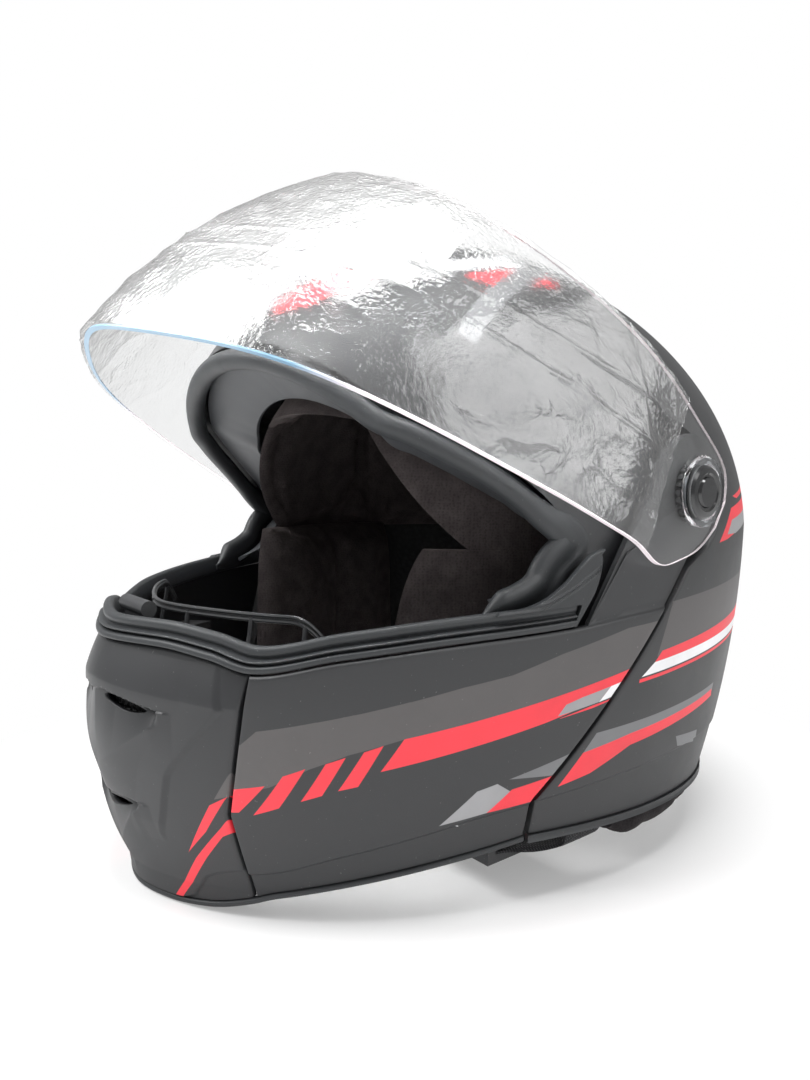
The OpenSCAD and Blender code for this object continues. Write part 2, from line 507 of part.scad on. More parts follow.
// The chin bar: arms, sides and the step that the front panel sits in
bar_cs = concat([for (i = [0 : 6]) i * arm_c * 0.16], [arm_c + 0.012], [for (i = [1 : 8]) mix(arm_c + 0.012, seam_c, i / 8)],
    [seam_c + 0.004], [for (i = [1 : 5]) mix(seam_c + 0.004, 1, i / 5)]);
function seat_at(c) = c > seam_c ? panel_seat : 0;
function bar_col(c, o, rows) = [for (j = [0 : rows]) let (z = mix(bar_low(c), arm_top(c), j / rows))
    bar_pt(bar_t_at(c, z), z, o)];
module chin_bar_shell() color([0.3, 0.32, 0.33]) difference() {
    net = function(o) span(bar_cs, function(c) bar_col(c, o + seat_at(c), 8));
    skin(net(0), net(bar_t));
    x_rod(half_w - 9, half_w + 9, pivot_y, pivot_z, pin_r + 1.5);
    x_rod(detent_x, half_w + 9, pivot_y, pivot_z, detent_r + 1.8);
    x_rod(hook_wall - 4, hook_wall + hook_in + 0.05, hook_y, hook_z, hook_pin_r + fit);
    for (a = [45 : 90 : 315]) x_rod(plate_x, stud_x + 0.05, pivot_y + (pod_r - 8) * sin(a), pivot_z + (pod_r - 8) * cos(a), stud_r + fit);
}

// Separate front panel with its two air slots, and the mesh behind each slot
panel_cs = [for (i = [0 : 8]) mix(seam_c + 0.0065, 1, i / 8)];
slot_z = [rim_z - 21, rim_z - 55];
slot_ws = [slot_w, slot_w * 0.75];
scoop_t = 1.8;
scoop_h = 17;
function scoop(x, z) = max([for (i = [0, 1]) let (d = slot_z[i] + slot_h / 2 + 1 - z)
    d > 0 ? scoop_t * (1 - ease(d / scoop_h)) * (1 - ease((abs(x) - slot_ws[i] / 2 + d * 0.6) / 5)) : 0]);
module front_panel() color([0.3, 0.32, 0.33]) difference() {
    outer = function(c) let (col = bar_col(c, 0, 20))
        [for (p = col) let (t = atan2(dome_y - p[1], p[0])) bar_pt(t, p[2], scoop(p[0], p[2]))];
    skin(span(panel_cs, outer), span(panel_cs, function(c) bar_col(c, panel_t, 20)));
    for (i = [0, 1]) translate([0, dome_y - chin_len - 5, slot_z[i]]) rotate([-90, 0, 0]) linear_extrude(28) {
        square([slot_ws[i] - slot_h, slot_h], center = true);
        for (s = [-1, 1]) translate([s * (slot_ws[i] - slot_h) / 2, 0]) circle(d = slot_h, $fn = 24);
    }
}
module vent_mesh(i) color([0.06, 0.06, 0.06]) {
    da = asin((slot_ws[i] / 2 + 4) / chin_len);
    net = function(o) [for (k = [-6 : 6]) let (t = 90 - da * k / 6) [for (j = [-1 : 1])
        let (p = bar_pt(min(t, 180 - t), slot_z[i] + j * (slot_h / 2 + 3), o)) k < 0 ? flip(p) : p]];
    skin(net(mesh_off), net(panel_seat - 0.2));
}

// Three-lipped rubber seal along the rim, with a moulded end piece at each arm
lips = [[1.2, 0.5], [0.8, 2.6], [3, 3], [2.6, 5.6], [4.8, 6], [4.4, 9], [7, 9], [9.4, 4.4], [9.4, 0.5]];
gasket_cs = [for (i = [0 : 20]) mix(arm_c + 0.035, 1, i / 20)];
module rim_gasket() color([0.15, 0.16, 0.17])
    loft(span(gasket_cs, function(c) let (z = rim_at(c), t = bar_t_at(c, z)) [for (p = lips) bar_pt(t, z + p[1], p[0] * mix(0.55, 1, ease((c - arm_c) / 0.3)))]));
module gasket_end(s) color([0.17, 0.18, 0.19]) on_side(s) {
    cs = [for (i = [5 : -1 : 0]) mix(arm_c + 0.03, arm_c + 0.12, i / 5)];
    net = function(o) [for (c = cs) let (u = (c - arm_c) / 0.12, z0 = rim_at(c) + 9.1, z1 = mix(pivot_z - 30, z0 + 3, u))
        [for (j = [0 : 3]) let (z = mix(z0, z1, j / 3)) bar_pt(bar_t_at(c, z), z, o)]];
    skin(net(1), net(3.4));
}

// Energy absorbing chin liner, clip-in breath guard and the visor's catch
liner_off = panel_seat + bar_t + lay_gap;
liner_t = 13;
liner_top = rim_z - 14;
liner_low = rim_z - 57;
module chin_liner() color([0.14, 0.14, 0.15]) {
    cs = [for (i = [0 : 10]) mix(0.5, 1, i / 10)];
    net = function(o) span(cs, function(c) [for (j = [0 : 4]) let (z = mix(liner_low, liner_top, j / 4))
        bar_pt(bar_t_at(c, z), z, o)]);
    skin(net(liner_off), net(liner_off + liner_t));
}
guard_h = 24;
module breath_guard() color([0.13, 0.13, 0.14]) difference() {
    z = rim_z - 12;
    o = liner_off + 0.2;
    sec = [[o, z], [o, z + 1.5], [o + 10.5, z + 1.5], [o + 13, z + guard_h], [o + 14.8, z + guard_h], [o + 12.6, z]];
    loft([for (k = [-10 : 10]) let (t = 90 - 2.8 * k, a = min(t, 180 - t))
        [for (p = sec) let (q = bar_pt(a, p[1], p[0])) k < 0 ? flip(q) : q]]);
    for (a = [-24 : 8 : 24]) translate([0, dome_y, z + guard_h * 0.56]) rotate([0, 0, a])
        translate([0, -chin_len + o + 12, 0]) cube([11, 26, guard_h * 0.56], center = true);
}
catch_y = dome_y - face_at(rim_z) + liner_off + 4;
module visor_catch() color([0.2, 0.2, 0.21]) {
    translate([-9, catch_y, rim_z - 9]) cube([18, 3, 18]);
    translate([-4, catch_y - 2.6, rim_z - 9]) cube([8, 5, 8.5]);
    translate([-11, catch_y + 1.5, rim_z + 11]) rotate([0, 90, 0]) cylinder(h = 22, r = 3, $fn = 48);
}

// Rubber edging along the chin bar's lower edge: its underside is the flat front foot
trim_cs = [for (i = [0 : 20]) i / 20];
module chin_trim() color([0.14, 0.15, 0.16])
    loft(span(trim_cs, function(c) let (z = bar_low(c) - 0.3, t = bar_t_at(c, max(z, 1)))
        [for (p = [[-0.6, 0], [bar_t + 0.6, 0], [bar_t + 0.6, -edge_h], [-0.6, -edge_h]])
            let (q = bar_pt(t, bar_low(c), p[0] + 0.6)) [q[0], q[1], z + p[1]]]));

// Release under the chin: a button in its housing, and the cable to the hooks
button_y = dome_y - face_at(8) + liner_off + 10;
module release_housing() color([0.16, 0.16, 0.17]) translate([0, button_y, 0]) difference() {
    translate([-17, 0, 8]) cube([34, 13, 18]);
    translate([-13, 2, 7]) cube([26, 9, 16.5]);
}
module release_button() color([0.8, 0.1, 0.12]) translate([0, button_y, 0]) {
    translate([-12.6, 2.4, 5]) cube([25.2, 8.2, 13]);
    translate([-9, 3.4, 3.6]) cube([18, 6.2, 1.6]);
}
module release_cable() color([0.1, 0.1, 0.1]) for (s = [-1, 1]) on_side(s)
    loft([for (i = [0 : 12]) let (c = mix(0.9035, 0.5, i / 12), z = mix(17, hook_z - 2, ease(i / 12)),
        t = bar_t_at(c, z), p = bar_pt(t, z, liner_off + 3.4), q = bar_pt(t, z, liner_off), d = unit(q - p))
        [for (a = [0 : 7]) p + d * 1.4 * cos(45 * a) + [0, 0, 1.4 * sin(45 * a)]]]);

// The visor, built closed and then raised about the pivot line
plate_low = [[-17, -6], [-13, -16], [-3, -28], [7, -36], [20, -36.5], [38, -38]];
plate_top = [[-17, 6], [-13, 13], [-2, 18.5], [11, 20], [29, 23], [52, 27]];
visor_n = 14;
visor_rows = 7;
visor_gap = 0.4;
function soft(w, e) = 1 - (norm([1 - w, e]) - e) / (norm([1, e]) - e);
function side_face(y) = side_x(min(y, dome_y), wide_z, 0) + visor_x - half_w + visor_t;
function polar(t, r, z) = [r * cos(t), dome_y - r * sin(t), z];
function visor_low_pt(w) = let (t = mix(13, 90, w), z = mix(pivot_z - 38, visor_low, soft(w, 0.2)),
    o = mix(visor_x - half_w, visor_gap, ease(w / 0.3)) + visor_t)
    polar(t, bar_r(t, z, -o), z);
function visor_top_pt(w) = let (t = mix(18.6, 90, w), z = mix(pivot_z + 27, visor_top, soft(w, 0.3)))
    polar(t, ellipse_r(t, half_w + 5.5, visor_top_len, 1.9) * (1.007 - 0.007 * ease(w / 0.3)), z);
function visor_col(i, o) = i < 6
    ? [for (j = [0 : visor_rows]) let (p = mix(plate_low[i], plate_top[i], j / visor_rows))
        [side_face(pivot_y - p[0]) + o, pivot_y - p[0], pivot_z + p[1]]]
    : let (w = (i - 5) / visor_n, a = visor_low_pt(w), b = visor_top_pt(w), t = mix(13, 90, w) * ease(w / 0.4))
        [for (j = [0 : visor_rows]) let (v = j / visor_rows)
            mix(a, b, v) + [cos(t), -sin(t), 0] * (o + visor_bulge * 4 * v * (1 - v) * ease(w / 0.6))];
module raised() translate([0, pivot_y, pivot_z]) rotate([-visor_rest, 0, 0]) translate([0, -pivot_y, -pivot_z]) children();
module visor() color([0.8, 0.86, 0.9, 0.35]) raised() difference() {
    is = [for (i = [0 : visor_n + 5]) i];
    skin(span(is, function(i) visor_col(i, 0)), span(is, function(i) visor_col(i, -visor_t)));
    for (s = [-1, 1]) translate([s * visor_x, pivot_y, pivot_z]) rotate([0, 90, 0])
        cylinder(h = 12, r = ring_r + 0.2, center = true, $fn = 64);
}
module visor_film() color([0.85, 0.86, 0.88, 0.3]) raised() {
    is = [for (i = [4 : visor_n + 5]) i];
    skin(span(is, function(i) visor_col(i, 0.2 + film_t)), span(is, function(i) visor_col(i, 0.2)));
}
module visor_ring(s) color([0.8, 0.85, 0.9, 0.5]) on_side(s) translate([visor_x, pivot_y, pivot_z]) rotate([0, 90, 0])
    difference() {
        cylinder(h = visor_t + ring_lip, r = ring_r, $fn = 96);
        translate([0, 0, visor_t]) cylinder(h = 4, r = cap_r + 0.5, $fn = 96);
        translate([0, 0, -1]) cylinder(h = visor_t + 2, r = pin_r + pin_fit, $fn = 96);
    }

shell();
eps_liner();
brow_trim();
port_gasket();
rear_trim();
crown_pad();
brow_pad();
temple_pad(1);  // temple_pad_left
temple_pad(-1);  // temple_pad_right
cheek_pad(1);  // cheek_pad_left
cheek_pad(-1);  // cheek_pad_right
neck_roll();
pivot_pin(1);  // pivot_pin_left
pivot_pin(-1);  // pivot_pin_right
pivot_cap(1);  // pivot_cap_left
pivot_cap(-1);  // pivot_cap_right
striker(1);  // striker_left
striker(-1);  // striker_right
strap_anchor(1);  // strap_anchor_left
strap_anchor(-1);  // strap_anchor_right
strap_left();
strap_right();
buckle_housing();
buckle_tongue();
buckle_lever();
chin_bar_shell();
front_panel();
vent_mesh(0);  // vent_mesh_upper
vent_mesh(1);  // vent_mesh_lower
rim_gasket();
gasket_end(1);  // gasket_end_left
gasket_end(-1);  // gasket_end_right
chin_liner();
breath_guard();
visor_catch();
hinge_plate(1);  // hinge_plate_left
hinge_plate(-1);  // hinge_plate_right
detent_ring(1);  // detent_ring_left
detent_ring(-1);  // detent_ring_right
release_housing();
release_button();
release_cable();
latch_hook(1);  // latch_hook_left
latch_hook(-1);  // latch_hook_right
hook_pin(1);  // hook_pin_left
hook_pin(-1);  // hook_pin_right
chin_trim();
visor();
visor_film();
visor_ring(1);  // visor_ring_left
visor_ring(-1);  // visor_ring_right
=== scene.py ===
# Flip-up motorcycle helmet, chin bar closed and visor raised. Lengths are in millimetres, as on the
# drawing, and angles in degrees. Meshes are written in metres.
import math

import bmesh
import bpy
import numpy as np
from mathutils import Matrix, Vector, noise


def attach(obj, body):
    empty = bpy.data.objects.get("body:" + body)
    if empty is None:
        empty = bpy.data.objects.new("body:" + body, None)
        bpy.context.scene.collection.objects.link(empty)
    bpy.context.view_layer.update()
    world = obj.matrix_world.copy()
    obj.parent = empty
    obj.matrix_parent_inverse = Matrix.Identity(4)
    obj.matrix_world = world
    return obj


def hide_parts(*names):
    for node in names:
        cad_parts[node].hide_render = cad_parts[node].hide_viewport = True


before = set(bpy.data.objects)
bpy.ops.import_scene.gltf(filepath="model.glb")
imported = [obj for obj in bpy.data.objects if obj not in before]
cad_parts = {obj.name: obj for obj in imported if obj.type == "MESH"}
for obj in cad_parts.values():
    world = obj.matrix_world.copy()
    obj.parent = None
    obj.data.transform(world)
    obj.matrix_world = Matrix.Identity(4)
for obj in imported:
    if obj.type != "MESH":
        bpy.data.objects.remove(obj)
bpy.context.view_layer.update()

# Outer shell: one glass-fibre moulding, painted matt black, with a shallow recess in each side for
# the chin bar's arms. The lining, the pivots and the strap are all fixed to it.
# The dome: its half width, the height of its widest place and its top, its length to the back and
# to the front, how far the top leans back, and how far its lower part tucks in
half_w, wide_z, crown_z = 124, 138, 261
rear_len, fore_len, crown_lean = 149, 139, 17
side_tuck, rear_tuck = 16.7, 31
edge_z, edge_drop, shell_t = 28, 5, 4
arm_recess, recess_z = 8.6, (165, 200)
brow_z = 208
# The chin: its length, its cheeks, the rake of its face, and how square each outline is
chin_len, chin_tuck = 182, 14
cheek_len, cheek_tuck = 200, 30
face_rake, nose_tip = 23, 0.09
rear_n, fore_n, cheek_n, corner_n = 2.2, 1.95, 1.75, 18
blend_z = (125, 185)
# The pivots, the parting line round them and down to the lower edge, and the chin bar's rim. Places
# along shell and bar are shares c of the way from the parting line to the middle, as is seam_c.
pivot_y, pivot_z, pod_r = 24.6, 154, 22.5
dome_y = pivot_y - 9
part_fwd, part_knee, part_gap = 67, 42, 1.9
rim_z, rim_rise, rim_dip = 97, 10, 4.7
seam_c, seam_low, arm_c = 0.72, 0.66, 0.2
part_slope = (part_fwd + pod_r * 0.25) / (pivot_z - pod_r - part_knee)


def clamp(v):
    return np.clip(v, 0, 1)


def ease(v):
    v = clamp(v)
    return v * v * (3 - 2 * v)


def mix(a, b, w):
    return a + (b - a) * w


def cosd(a):
    return np.cos(np.radians(a))


def sind(a):
    return np.sin(np.radians(a))


def curve(x, knots):
    """A smooth line through the knots that doesn't overshoot between them."""
    kx, ky = np.array(knots, float).T
    rise = np.diff(ky) / np.diff(kx)
    both = rise[:-1] * rise[1:]
    inner = np.where(both > 0, 2 * both / np.where(both > 0, rise[:-1] + rise[1:], 1), 0)
    m = np.concatenate([rise[:1], inner, rise[-1:]])
    i = np.clip(np.searchsorted(kx, x) - 1, 0, len(kx) - 2)
    h = kx[i + 1] - kx[i]
    u = clamp((x - kx[i]) / h)
    return ((1 + 2 * u) * (1 - u) ** 2 * ky[i] + u * (1 - u) ** 2 * h * m[i]
            + u * u * (3 - 2 * u) * ky[i + 1] + u * u * (u - 1) * h * m[i + 1])


def low(z):
    """How far a height lies below the widest place, as a share."""
    return clamp((wide_z - z) / wide_z)


def half_at(z):
    return half_w - side_tuck * low(z) ** 2.2


def cheek_at(z):
    return cheek_len - cheek_tuck * clamp((100 - z) / 90) ** 1.3


def face_at(z):
    return chin_len - chin_tuck * clamp((70 - z) / 70) ** 2 - 5 * clamp((z - 80) / 20) ** 1.5


def oval(t, a, b, n):
    """Radius of an oval with half axes a and b. An n above 2 makes it squarer."""
    return (np.abs(cosd(t) / a) ** n + np.abs(sind(t) / b) ** n) ** (-1 / n)


def dome_r(t, z, side, o):
    """Radius of the dome, drawn in by one offset at the sides and another at back, front and top."""
    k = np.sqrt(np.maximum(1 - clamp((z - wide_z) / (crown_z - o - wide_z)) ** 2, 0.0004))
    back = oval(t, (half_at(z) - side) * k, (rear_len - o - rear_tuck * low(z) ** 1.8) * k, rear_n)
    fore = oval(t, (half_at(z) - side) * k, (fore_len - o) * k, fore_n)
    return np.where(sind(t) < 0, back, fore)


def bar_r(t, z, o):
    """Radius of the chin bar: two cheeks and a raked face, joined by tight round corners."""
    raked = math.tan(math.radians(face_rake)) * (np.sqrt(cosd(t) ** 2 + nose_tip ** 2) - nose_tip)
    face = (face_at(z) - o) / np.maximum(sind(t) + raked, 1e-3)
    side = oval(t, half_at(z) - o, cheek_at(z) - o, cheek_n)
    return np.where(t <= 0, oval(t, half_at(z) - o, rear_len - o, rear_n),
                    (side ** -corner_n + face ** -corner_n) ** (-1 / corner_n))


def lean(z):
    return crown_lean * clamp((z - wide_z) / (crown_z - wide_z))


def around(t, r, z, shift=0):
    """Points at azimuth t from the left side to the front, at a radius about the dome's middle."""
    t, r, z, shift = np.broadcast_arrays(t, r, z, shift)
    return np.stack([r * cosd(t), dome_y - shift - r * sind(t), z], -1)


def bar_pt(t, z, o):
    return around(t, bar_r(t, z, o), z)


def dome_pt(t, z, o):
    return around(t, dome_r(t, z, o, o), z, lean(z))


def shell_pt(t, z, o, recess):
    """A point of the shell, which follows the bar low at the sides and the dome above."""
    to_dome = ease((z - blend_z[0]) / (blend_z[1] - blend_z[0]))
    front = mix(bar_r(t, z, o + recess), dome_r(t, z, o + recess, o), to_dome)
    return around(t, np.where(t <= 0, dome_r(t, z, o + recess, o), front), z, lean(z))


def part_y(z, fwd, r):
    """Where the parting line between shell and chin bar lies at a height."""
    h = np.abs(z - pivot_z)
    ring = np.where(h < r, np.sqrt(np.maximum(r * r - h * h, 0)), -fwd)
    below = np.maximum(ring, np.minimum(np.maximum(z - part_knee, 0) * part_slope - fwd, r))
    return pivot_y + np.where(z < pivot_z, below, np.where(h < r, ring, (r - h) / 2))


def az_of(y, z):
    """Azimuth at which the side passes a place y."""
    dy = dome_y - y
    reach = np.where(dy > 0, cheek_at(z), rear_len)
    n = np.where(dy > 0, cheek_n, rear_n)
    return np.degrees(np.arctan2(dy, half_at(z) * (1 - np.minimum(np.abs(dy) / reach, 0.98) ** n) ** (1 / n)))


def side_x(y, z, o):
    """How far out the side lies at a place y and a height."""
    dy = dome_y - y
    reach = np.where(dy > 0, cheek_at(z), rear_len) - o
    n = np.where(dy > 0, cheek_n, rear_n)
    return (half_at(z) - o) * (1 - (np.abs(dy) / reach) ** n) ** (1 / n)


def shell_az(c, z, back=0.0):
    """Azimuth of a column: c is 1 at the front middle, 0 at the parting line and -1 at the back."""
    part = az_of(part_y(z, part_fwd, pod_r + 4.5) + back, z)
    return np.where(c <= 0, mix(part, -90, -c), mix(part, 90, c))


def port_z(c):
    """Height of the eye port's edge, from the parting line up and round to the brow."""
    return curve(c, [(0, edge_z), (0.1, edge_z + 2), (0.235, rim_z + 5.5), (0.3, rim_z + 28),
                     (0.37, rim_z + 46), (0.46, brow_z - 47), (0.58, brow_z - 29.5), (0.68, brow_z - 15),
                     (0.78, brow_z - 6.5), (0.88, brow_z - 1.8), (0.95, brow_z - 0.3), (1, brow_z)])


def shell_low(c):
    return np.where(c > 0, port_z(clamp(c)), edge_z - edge_drop * ease(-c))


def recess_at(c, z):
    """How deep the shell lies under the arm and the visor's plate."""
    return np.where(c > 0, arm_recess * (1 - ease((z - recess_z[0]) / (recess_z[1] - recess_z[0]))), 0)


def flip(points):
    return points * np.array([-1, 1, 1])


def all_round(net):
    """Columns from the front middle to the back middle, carried on round the other side."""
    return np.concatenate([net, flip(net[-2:0:-1])])


def mesh_piece(name, points, faces, finish, smooth=40):
    """A piece made of points in millimetres, smooth except where its faces meet at a sharp angle."""
    data = bpy.data.meshes.new(name)
    data.from_pydata((np.asarray(points, float) / 1000).tolist(), [], [list(map(int, f)) for f in faces])
    data.validate()
    data.shade_smooth()
    data.set_sharp_from_angle(angle=math.radians(smooth))
    data.materials.append(finish)
    piece = bpy.data.objects.new(name, data)
    bpy.context.collection.objects.link(piece)
    return piece


def moulding(name, outer, inner, finish, ring=False, poles=None, smooth=40):
    """A wall between an outer and an inner net of points."""
    n, m = outer.shape[:2]
    points = [*outer.reshape(-1, 3), *inner.reshape(-1, 3)]
    spans = range(n if ring else n - 1)
    o = lambda i, j: (i % n) * m + j
    q = lambda i, j: n * m + (i % n) * m + j
    faces = [f for i in spans for j in range(m - 1)
             for f in ((o(i, j), o(i + 1, j), o(i + 1, j + 1), o(i, j + 1)),
                       (q(i, j), q(i, j + 1), q(i + 1, j + 1), q(i + 1, j)))]
    faces += [(o(i, 0), q(i, 0), q(i + 1, 0), o(i + 1, 0)) for i in spans]
    if poles is None:
        faces += [(o(i, m - 1), o(i + 1, m - 1), q(i + 1, m - 1), q(i, m - 1)) for i in spans]
    else:
        points += [np.array(p, float) for p in poles]
        top = 2 * n * m
        faces += [f for i in spans for f in ((o(i, m - 1), o(i + 1, m - 1), top),
                                             (q(i + 1, m - 1), q(i, m - 1), top + 1))]
    if not ring:
        e = n - 1
        faces += [f for j in range(m - 1) for f in ((o(0, j), o(0, j + 1), q(0, j + 1), q(0, j)),
                                                    (o(e, j), q(e, j), q(e, j + 1), o(e, j + 1)))]
    return mesh_piece(name, points, faces, finish, smooth)


def facing_out(piece):
    """Turns every face of a closed piece outward."""
    b = bmesh.new()
    b.from_mesh(piece.data)
    bmesh.ops.recalc_face_normals(b, faces=b.faces)
    b.to_mesh(piece.data)
    b.free()
    return piece


def srgb(r, g, b):
    """A colour as read from a screen, 0 to 255, as the shader's own."""
    shares = [v / 255 for v in (r, g, b)]
    return tuple(v / 12.92 if v <= 0.0404 else ((v + 0.055) / 1.055) ** 2.4 for v in shares) + (1,)


def add(tree, kind, values=None, **settings):
    """Adds a node, sets it, and fills or links its inputs."""
    made = tree.nodes.new("ShaderNode" + kind)
    for key, value in settings.items():
        setattr(made, key, value)
    for key, value in (values or {}).items():
        if isinstance(value, bpy.types.NodeSocket):
            tree.links.new(value, made.inputs[key])
        else:
            made.inputs[key].default_value = value
    return made


def spread(tree, value, old, new=(0.0, 1.0), **settings):
    """A value with its old range spread over a new one, held at both ends."""
    ends = {"From Min": old[0], "From Max": old[1], "To Min": new[0], "To Max": new[1]}
    return add(tree, "MapRange", {"Value": value, **ends}, **settings).outputs["Result"]


def reckon(tree, operation, a, b=0.0):
    return add(tree, "Math", {0: a, 1: b}, operation=operation).outputs[0]


def vectors(tree, operation, a, b):
    """Two vectors taken together: a number for a dot product, and otherwise a vector."""
    made = add(tree, "VectorMath", {0: a, 1: b}, operation=operation)
    return made.outputs["Value" if operation == "DOT_PRODUCT" else "Vector"]


def toned(tree, colour, strength):
    """A colour made lighter or darker by a strength of about 1."""
    return add(tree, "VectorMath", {0: colour, "Scale": strength}, operation="SCALE").outputs["Vector"]


def object_place(tree):
    return add(tree, "TexCoord").outputs["Object"]


def finish(name, colour, rough, **sockets):
    """A new material, its tree and its shader, with the constants on the shader's own sockets."""
    made = bpy.data.materials.new(name)
    made.use_nodes = True
    made.diffuse_color = colour
    shader = made.node_tree.nodes["Principled BSDF"]
    shader.inputs["Base Color"].default_value = colour
    shader.inputs["Roughness"].default_value = rough
    for key, value in sockets.items():
        shader.inputs[key.replace("_", " ")].default_value = value
    return made, made.node_tree, shader


def group(name, inputs, outputs):
    """A shader node group with named inputs and outputs."""
    tree = bpy.data.node_groups.new(name, "ShaderNodeTree")
    for key, value in inputs.items():
        kind = "NodeSocketColor" if isinstance(value, tuple) else "NodeSocketFloat"
        tree.interface.new_socket(key, in_out="INPUT", socket_type=kind).default_value = value
    for key, kind in outputs.items():
        tree.interface.new_socket(key, in_out="OUTPUT", socket_type="NodeSocket" + kind)
    return tree, tree.nodes.new("NodeGroupInput").outputs, tree.nodes.new("NodeGroupOutput").inputs


# Fine pebble of soft-touch paint and moulded plastic, with faint handling smudges
soft_touch, given, out = group(
    "soft_touch", {"Pebble": 2200.0, "Colour": (0.05, 0.05, 0.05, 1.0), "Roughness": 0.5},
    {"Colour": "Color", "Roughness": "Float", "Height": "Float"})
place = object_place(soft_touch)
pebble = add(soft_touch, "TexNoise", {"Vector": place, "Scale": given["Pebble"], "Detail": 2.0})
smudge = add(soft_touch, "TexNoise", {"Vector": place, "Scale": 23.0, "Detail": 5.0, "Roughness": 0.62})
dust = add(soft_touch, "TexNoise", {"Vector": place, "Scale": 900.0, "Detail": 1.0})
speck = spread(soft_touch, dust.outputs["Fac"], (0.76, 0.8), (0.0, 0.22))
shade = spread(soft_touch, smudge.outputs["Fac"], (0.3, 0.7), (0.9, 1.12))
dusted = add(soft_touch, "Mix", {"Factor": speck, 6: toned(soft_touch, given["Colour"], shade),
                                 7: srgb(150, 150, 148)}, data_type="RGBA")
worn = spread(soft_touch, smudge.outputs["Fac"], (0.35, 0.75), (-0.05, 0.07))
soft_touch.links.new(dusted.outputs[2], out["Colour"])
soft_touch.links.new(reckon(soft_touch, "ADD", given["Roughness"], worn), out["Roughness"])
soft_touch.links.new(pebble.outputs["Fac"], out["Height"])


def placed(tree, shared, **values):
    """One use of a shared group in a material."""
    return add(tree, "Group", values, node_tree=shared).outputs


def bumped(tree, shader, height, depth):
    """Lets a height in millimetres raise the surface."""
    relief = add(tree, "Bump", {"Height": height, "Strength": 1.0, "Distance": depth / 1000})
    tree.links.new(relief.outputs["Normal"], shader.inputs["Normal"])


def grained(tree, shader, depth, **values):
    """Puts the soft-touch grain on a finish."""
    touch = placed(tree, soft_touch, **values)
    tree.links.new(touch["Colour"], shader.inputs["Base Color"])
    tree.links.new(touch["Roughness"], shader.inputs["Roughness"])
    bumped(tree, shader, touch["Height"], depth)


matt_black, charcoal = srgb(37, 38, 40), srgb(80, 77, 77)
red, white, silver = srgb(236, 48, 62), srgb(236, 236, 238), srgb(150, 150, 152)
steel_grey = srgb(112, 113, 115)
ink_edge, crown_print_z = 0.00008, 0.15


def patch(tree, spot, corners):
    """1 inside a convex patch given by its corners in millimetres, and 0 outside."""
    corners = np.array(corners, float) / 1000
    middle = corners.mean(0)
    inside = None
    for a, b in zip(corners, np.roll(corners, -1, 0)):
        normal = np.array([a[1] - b[1], b[0] - a[0]])
        normal = normal / np.linalg.norm(normal) * np.sign(normal @ (middle - a))
        gap = vectors(tree, "DOT_PRODUCT", spot, (-normal @ a, *normal))
        inside = gap if inside is None else reckon(tree, "MINIMUM", inside, gap)
    return spread(tree, inside, (-ink_edge, ink_edge))


def painted(name, prints=()):
    """Matt paint with its printed bands, each a colour and the corners of a convex patch. Patches are
    given as seen from the side (y, z), from the front (x, z) or from above (x, y). Both sides have them,
    and the inside of the moulding has none."""
    made, tree, shader = finish(name, matt_black, 0.5, Specular_IOR_Level=0.45)
    here = add(tree, "TexCoord").outputs
    x, y, z = add(tree, "SeparateXYZ", {"Vector": here["Object"]}).outputs
    away = vectors(tree, "MULTIPLY", here["Object"], (1, 1, 0.2))
    outside = reckon(tree, "GREATER_THAN", vectors(tree, "DOT_PRODUCT", away, here["Normal"]))
    across = reckon(tree, "ABSOLUTE", x)
    axes = {"side": (y, z), "front": (across, z), "top": (across, y)}
    colour = matt_black
    for ink, view, corners in prints:
        spot = add(tree, "CombineXYZ", {"X": 1.0, "Y": axes[view][0], "Z": axes[view][1]}).outputs["Vector"]
        mask = reckon(tree, "MULTIPLY", patch(tree, spot, corners), outside)
        if view == "top":
            mask = reckon(tree, "MULTIPLY", mask, reckon(tree, "GREATER_THAN", z, crown_print_z))
        colour = add(tree, "Mix", {"Factor": mask, 6: colour, 7: ink}, data_type="RGBA").outputs[2]
    grained(tree, shader, 0.03, Colour=colour, Roughness=0.5)
    return made


# The bands printed on the shell behind the parting line, and plain wedges over its crown
shell_prints = [
    (charcoal, "side", [(15, 112), (150, 122), (150, 106), (8, 91)]),
    (red, "side", [(11, 93), (150, 108), (150, 101), (7, 89)]),
    (white, "side", [(7, 89), (150, 101), (150, 97), (0, 84)]),
    (red, "side", [(-1, 83.2), (150, 96.4), (150, 95.2), (-1, 81.8)]),
    (steel_grey, "side", [(-20, 65), (63, 71), (63, 67), (-25, 58)]),
    (red, "side", [(-34, 46), (-25, 58), (-1, 62), (-1, 57), (-20, 49)]),
    (red, "side", [(-1, 62), (62, 68.3), (63, 65), (-1, 57)]),
    (steel_grey, "side", [(31, 54), (52, 52), (53, 46), (34, 49)]),
    (red, "side", [(51, 133), (65, 147), (150, 160), (150, 152), (60, 134)]),
    (silver, "side", [(60, 136), (66, 142), (150, 153), (150, 149), (72, 136)]),
    (red, "side", [(69, 152), (150, 166), (150, 163), (76, 151)]),
    (silver, "top", [(0, -98), (9, -96), (16, -60), (0, -62)]),
    (red, "top", [(13, -98), (30, -92), (44, -70), (26, -74)]),
    (white, "top", [(34, -75), (48, -66), (40, -52), (24, -60)]),
    (white, "top", [(52, -50), (60, -46), (66, -8), (57, -12)]),
    (red, "top", [(64, -44), (72, -38), (78, -4), (69, -8)]),
    (steel_grey, "top", [(80, -62), (86, -58), (60, 40), (50, 40)])]


def step_z(y):
    """Height of the moulded step above the lower edge, at a place along the helmet's side."""
    return curve(y, [(-132, 18), (-127, 19), (-108, 26), (-79, 34), (-63, 38), (-43, 41), (12, 46.5),
                     (50, 48), (165, 46)])


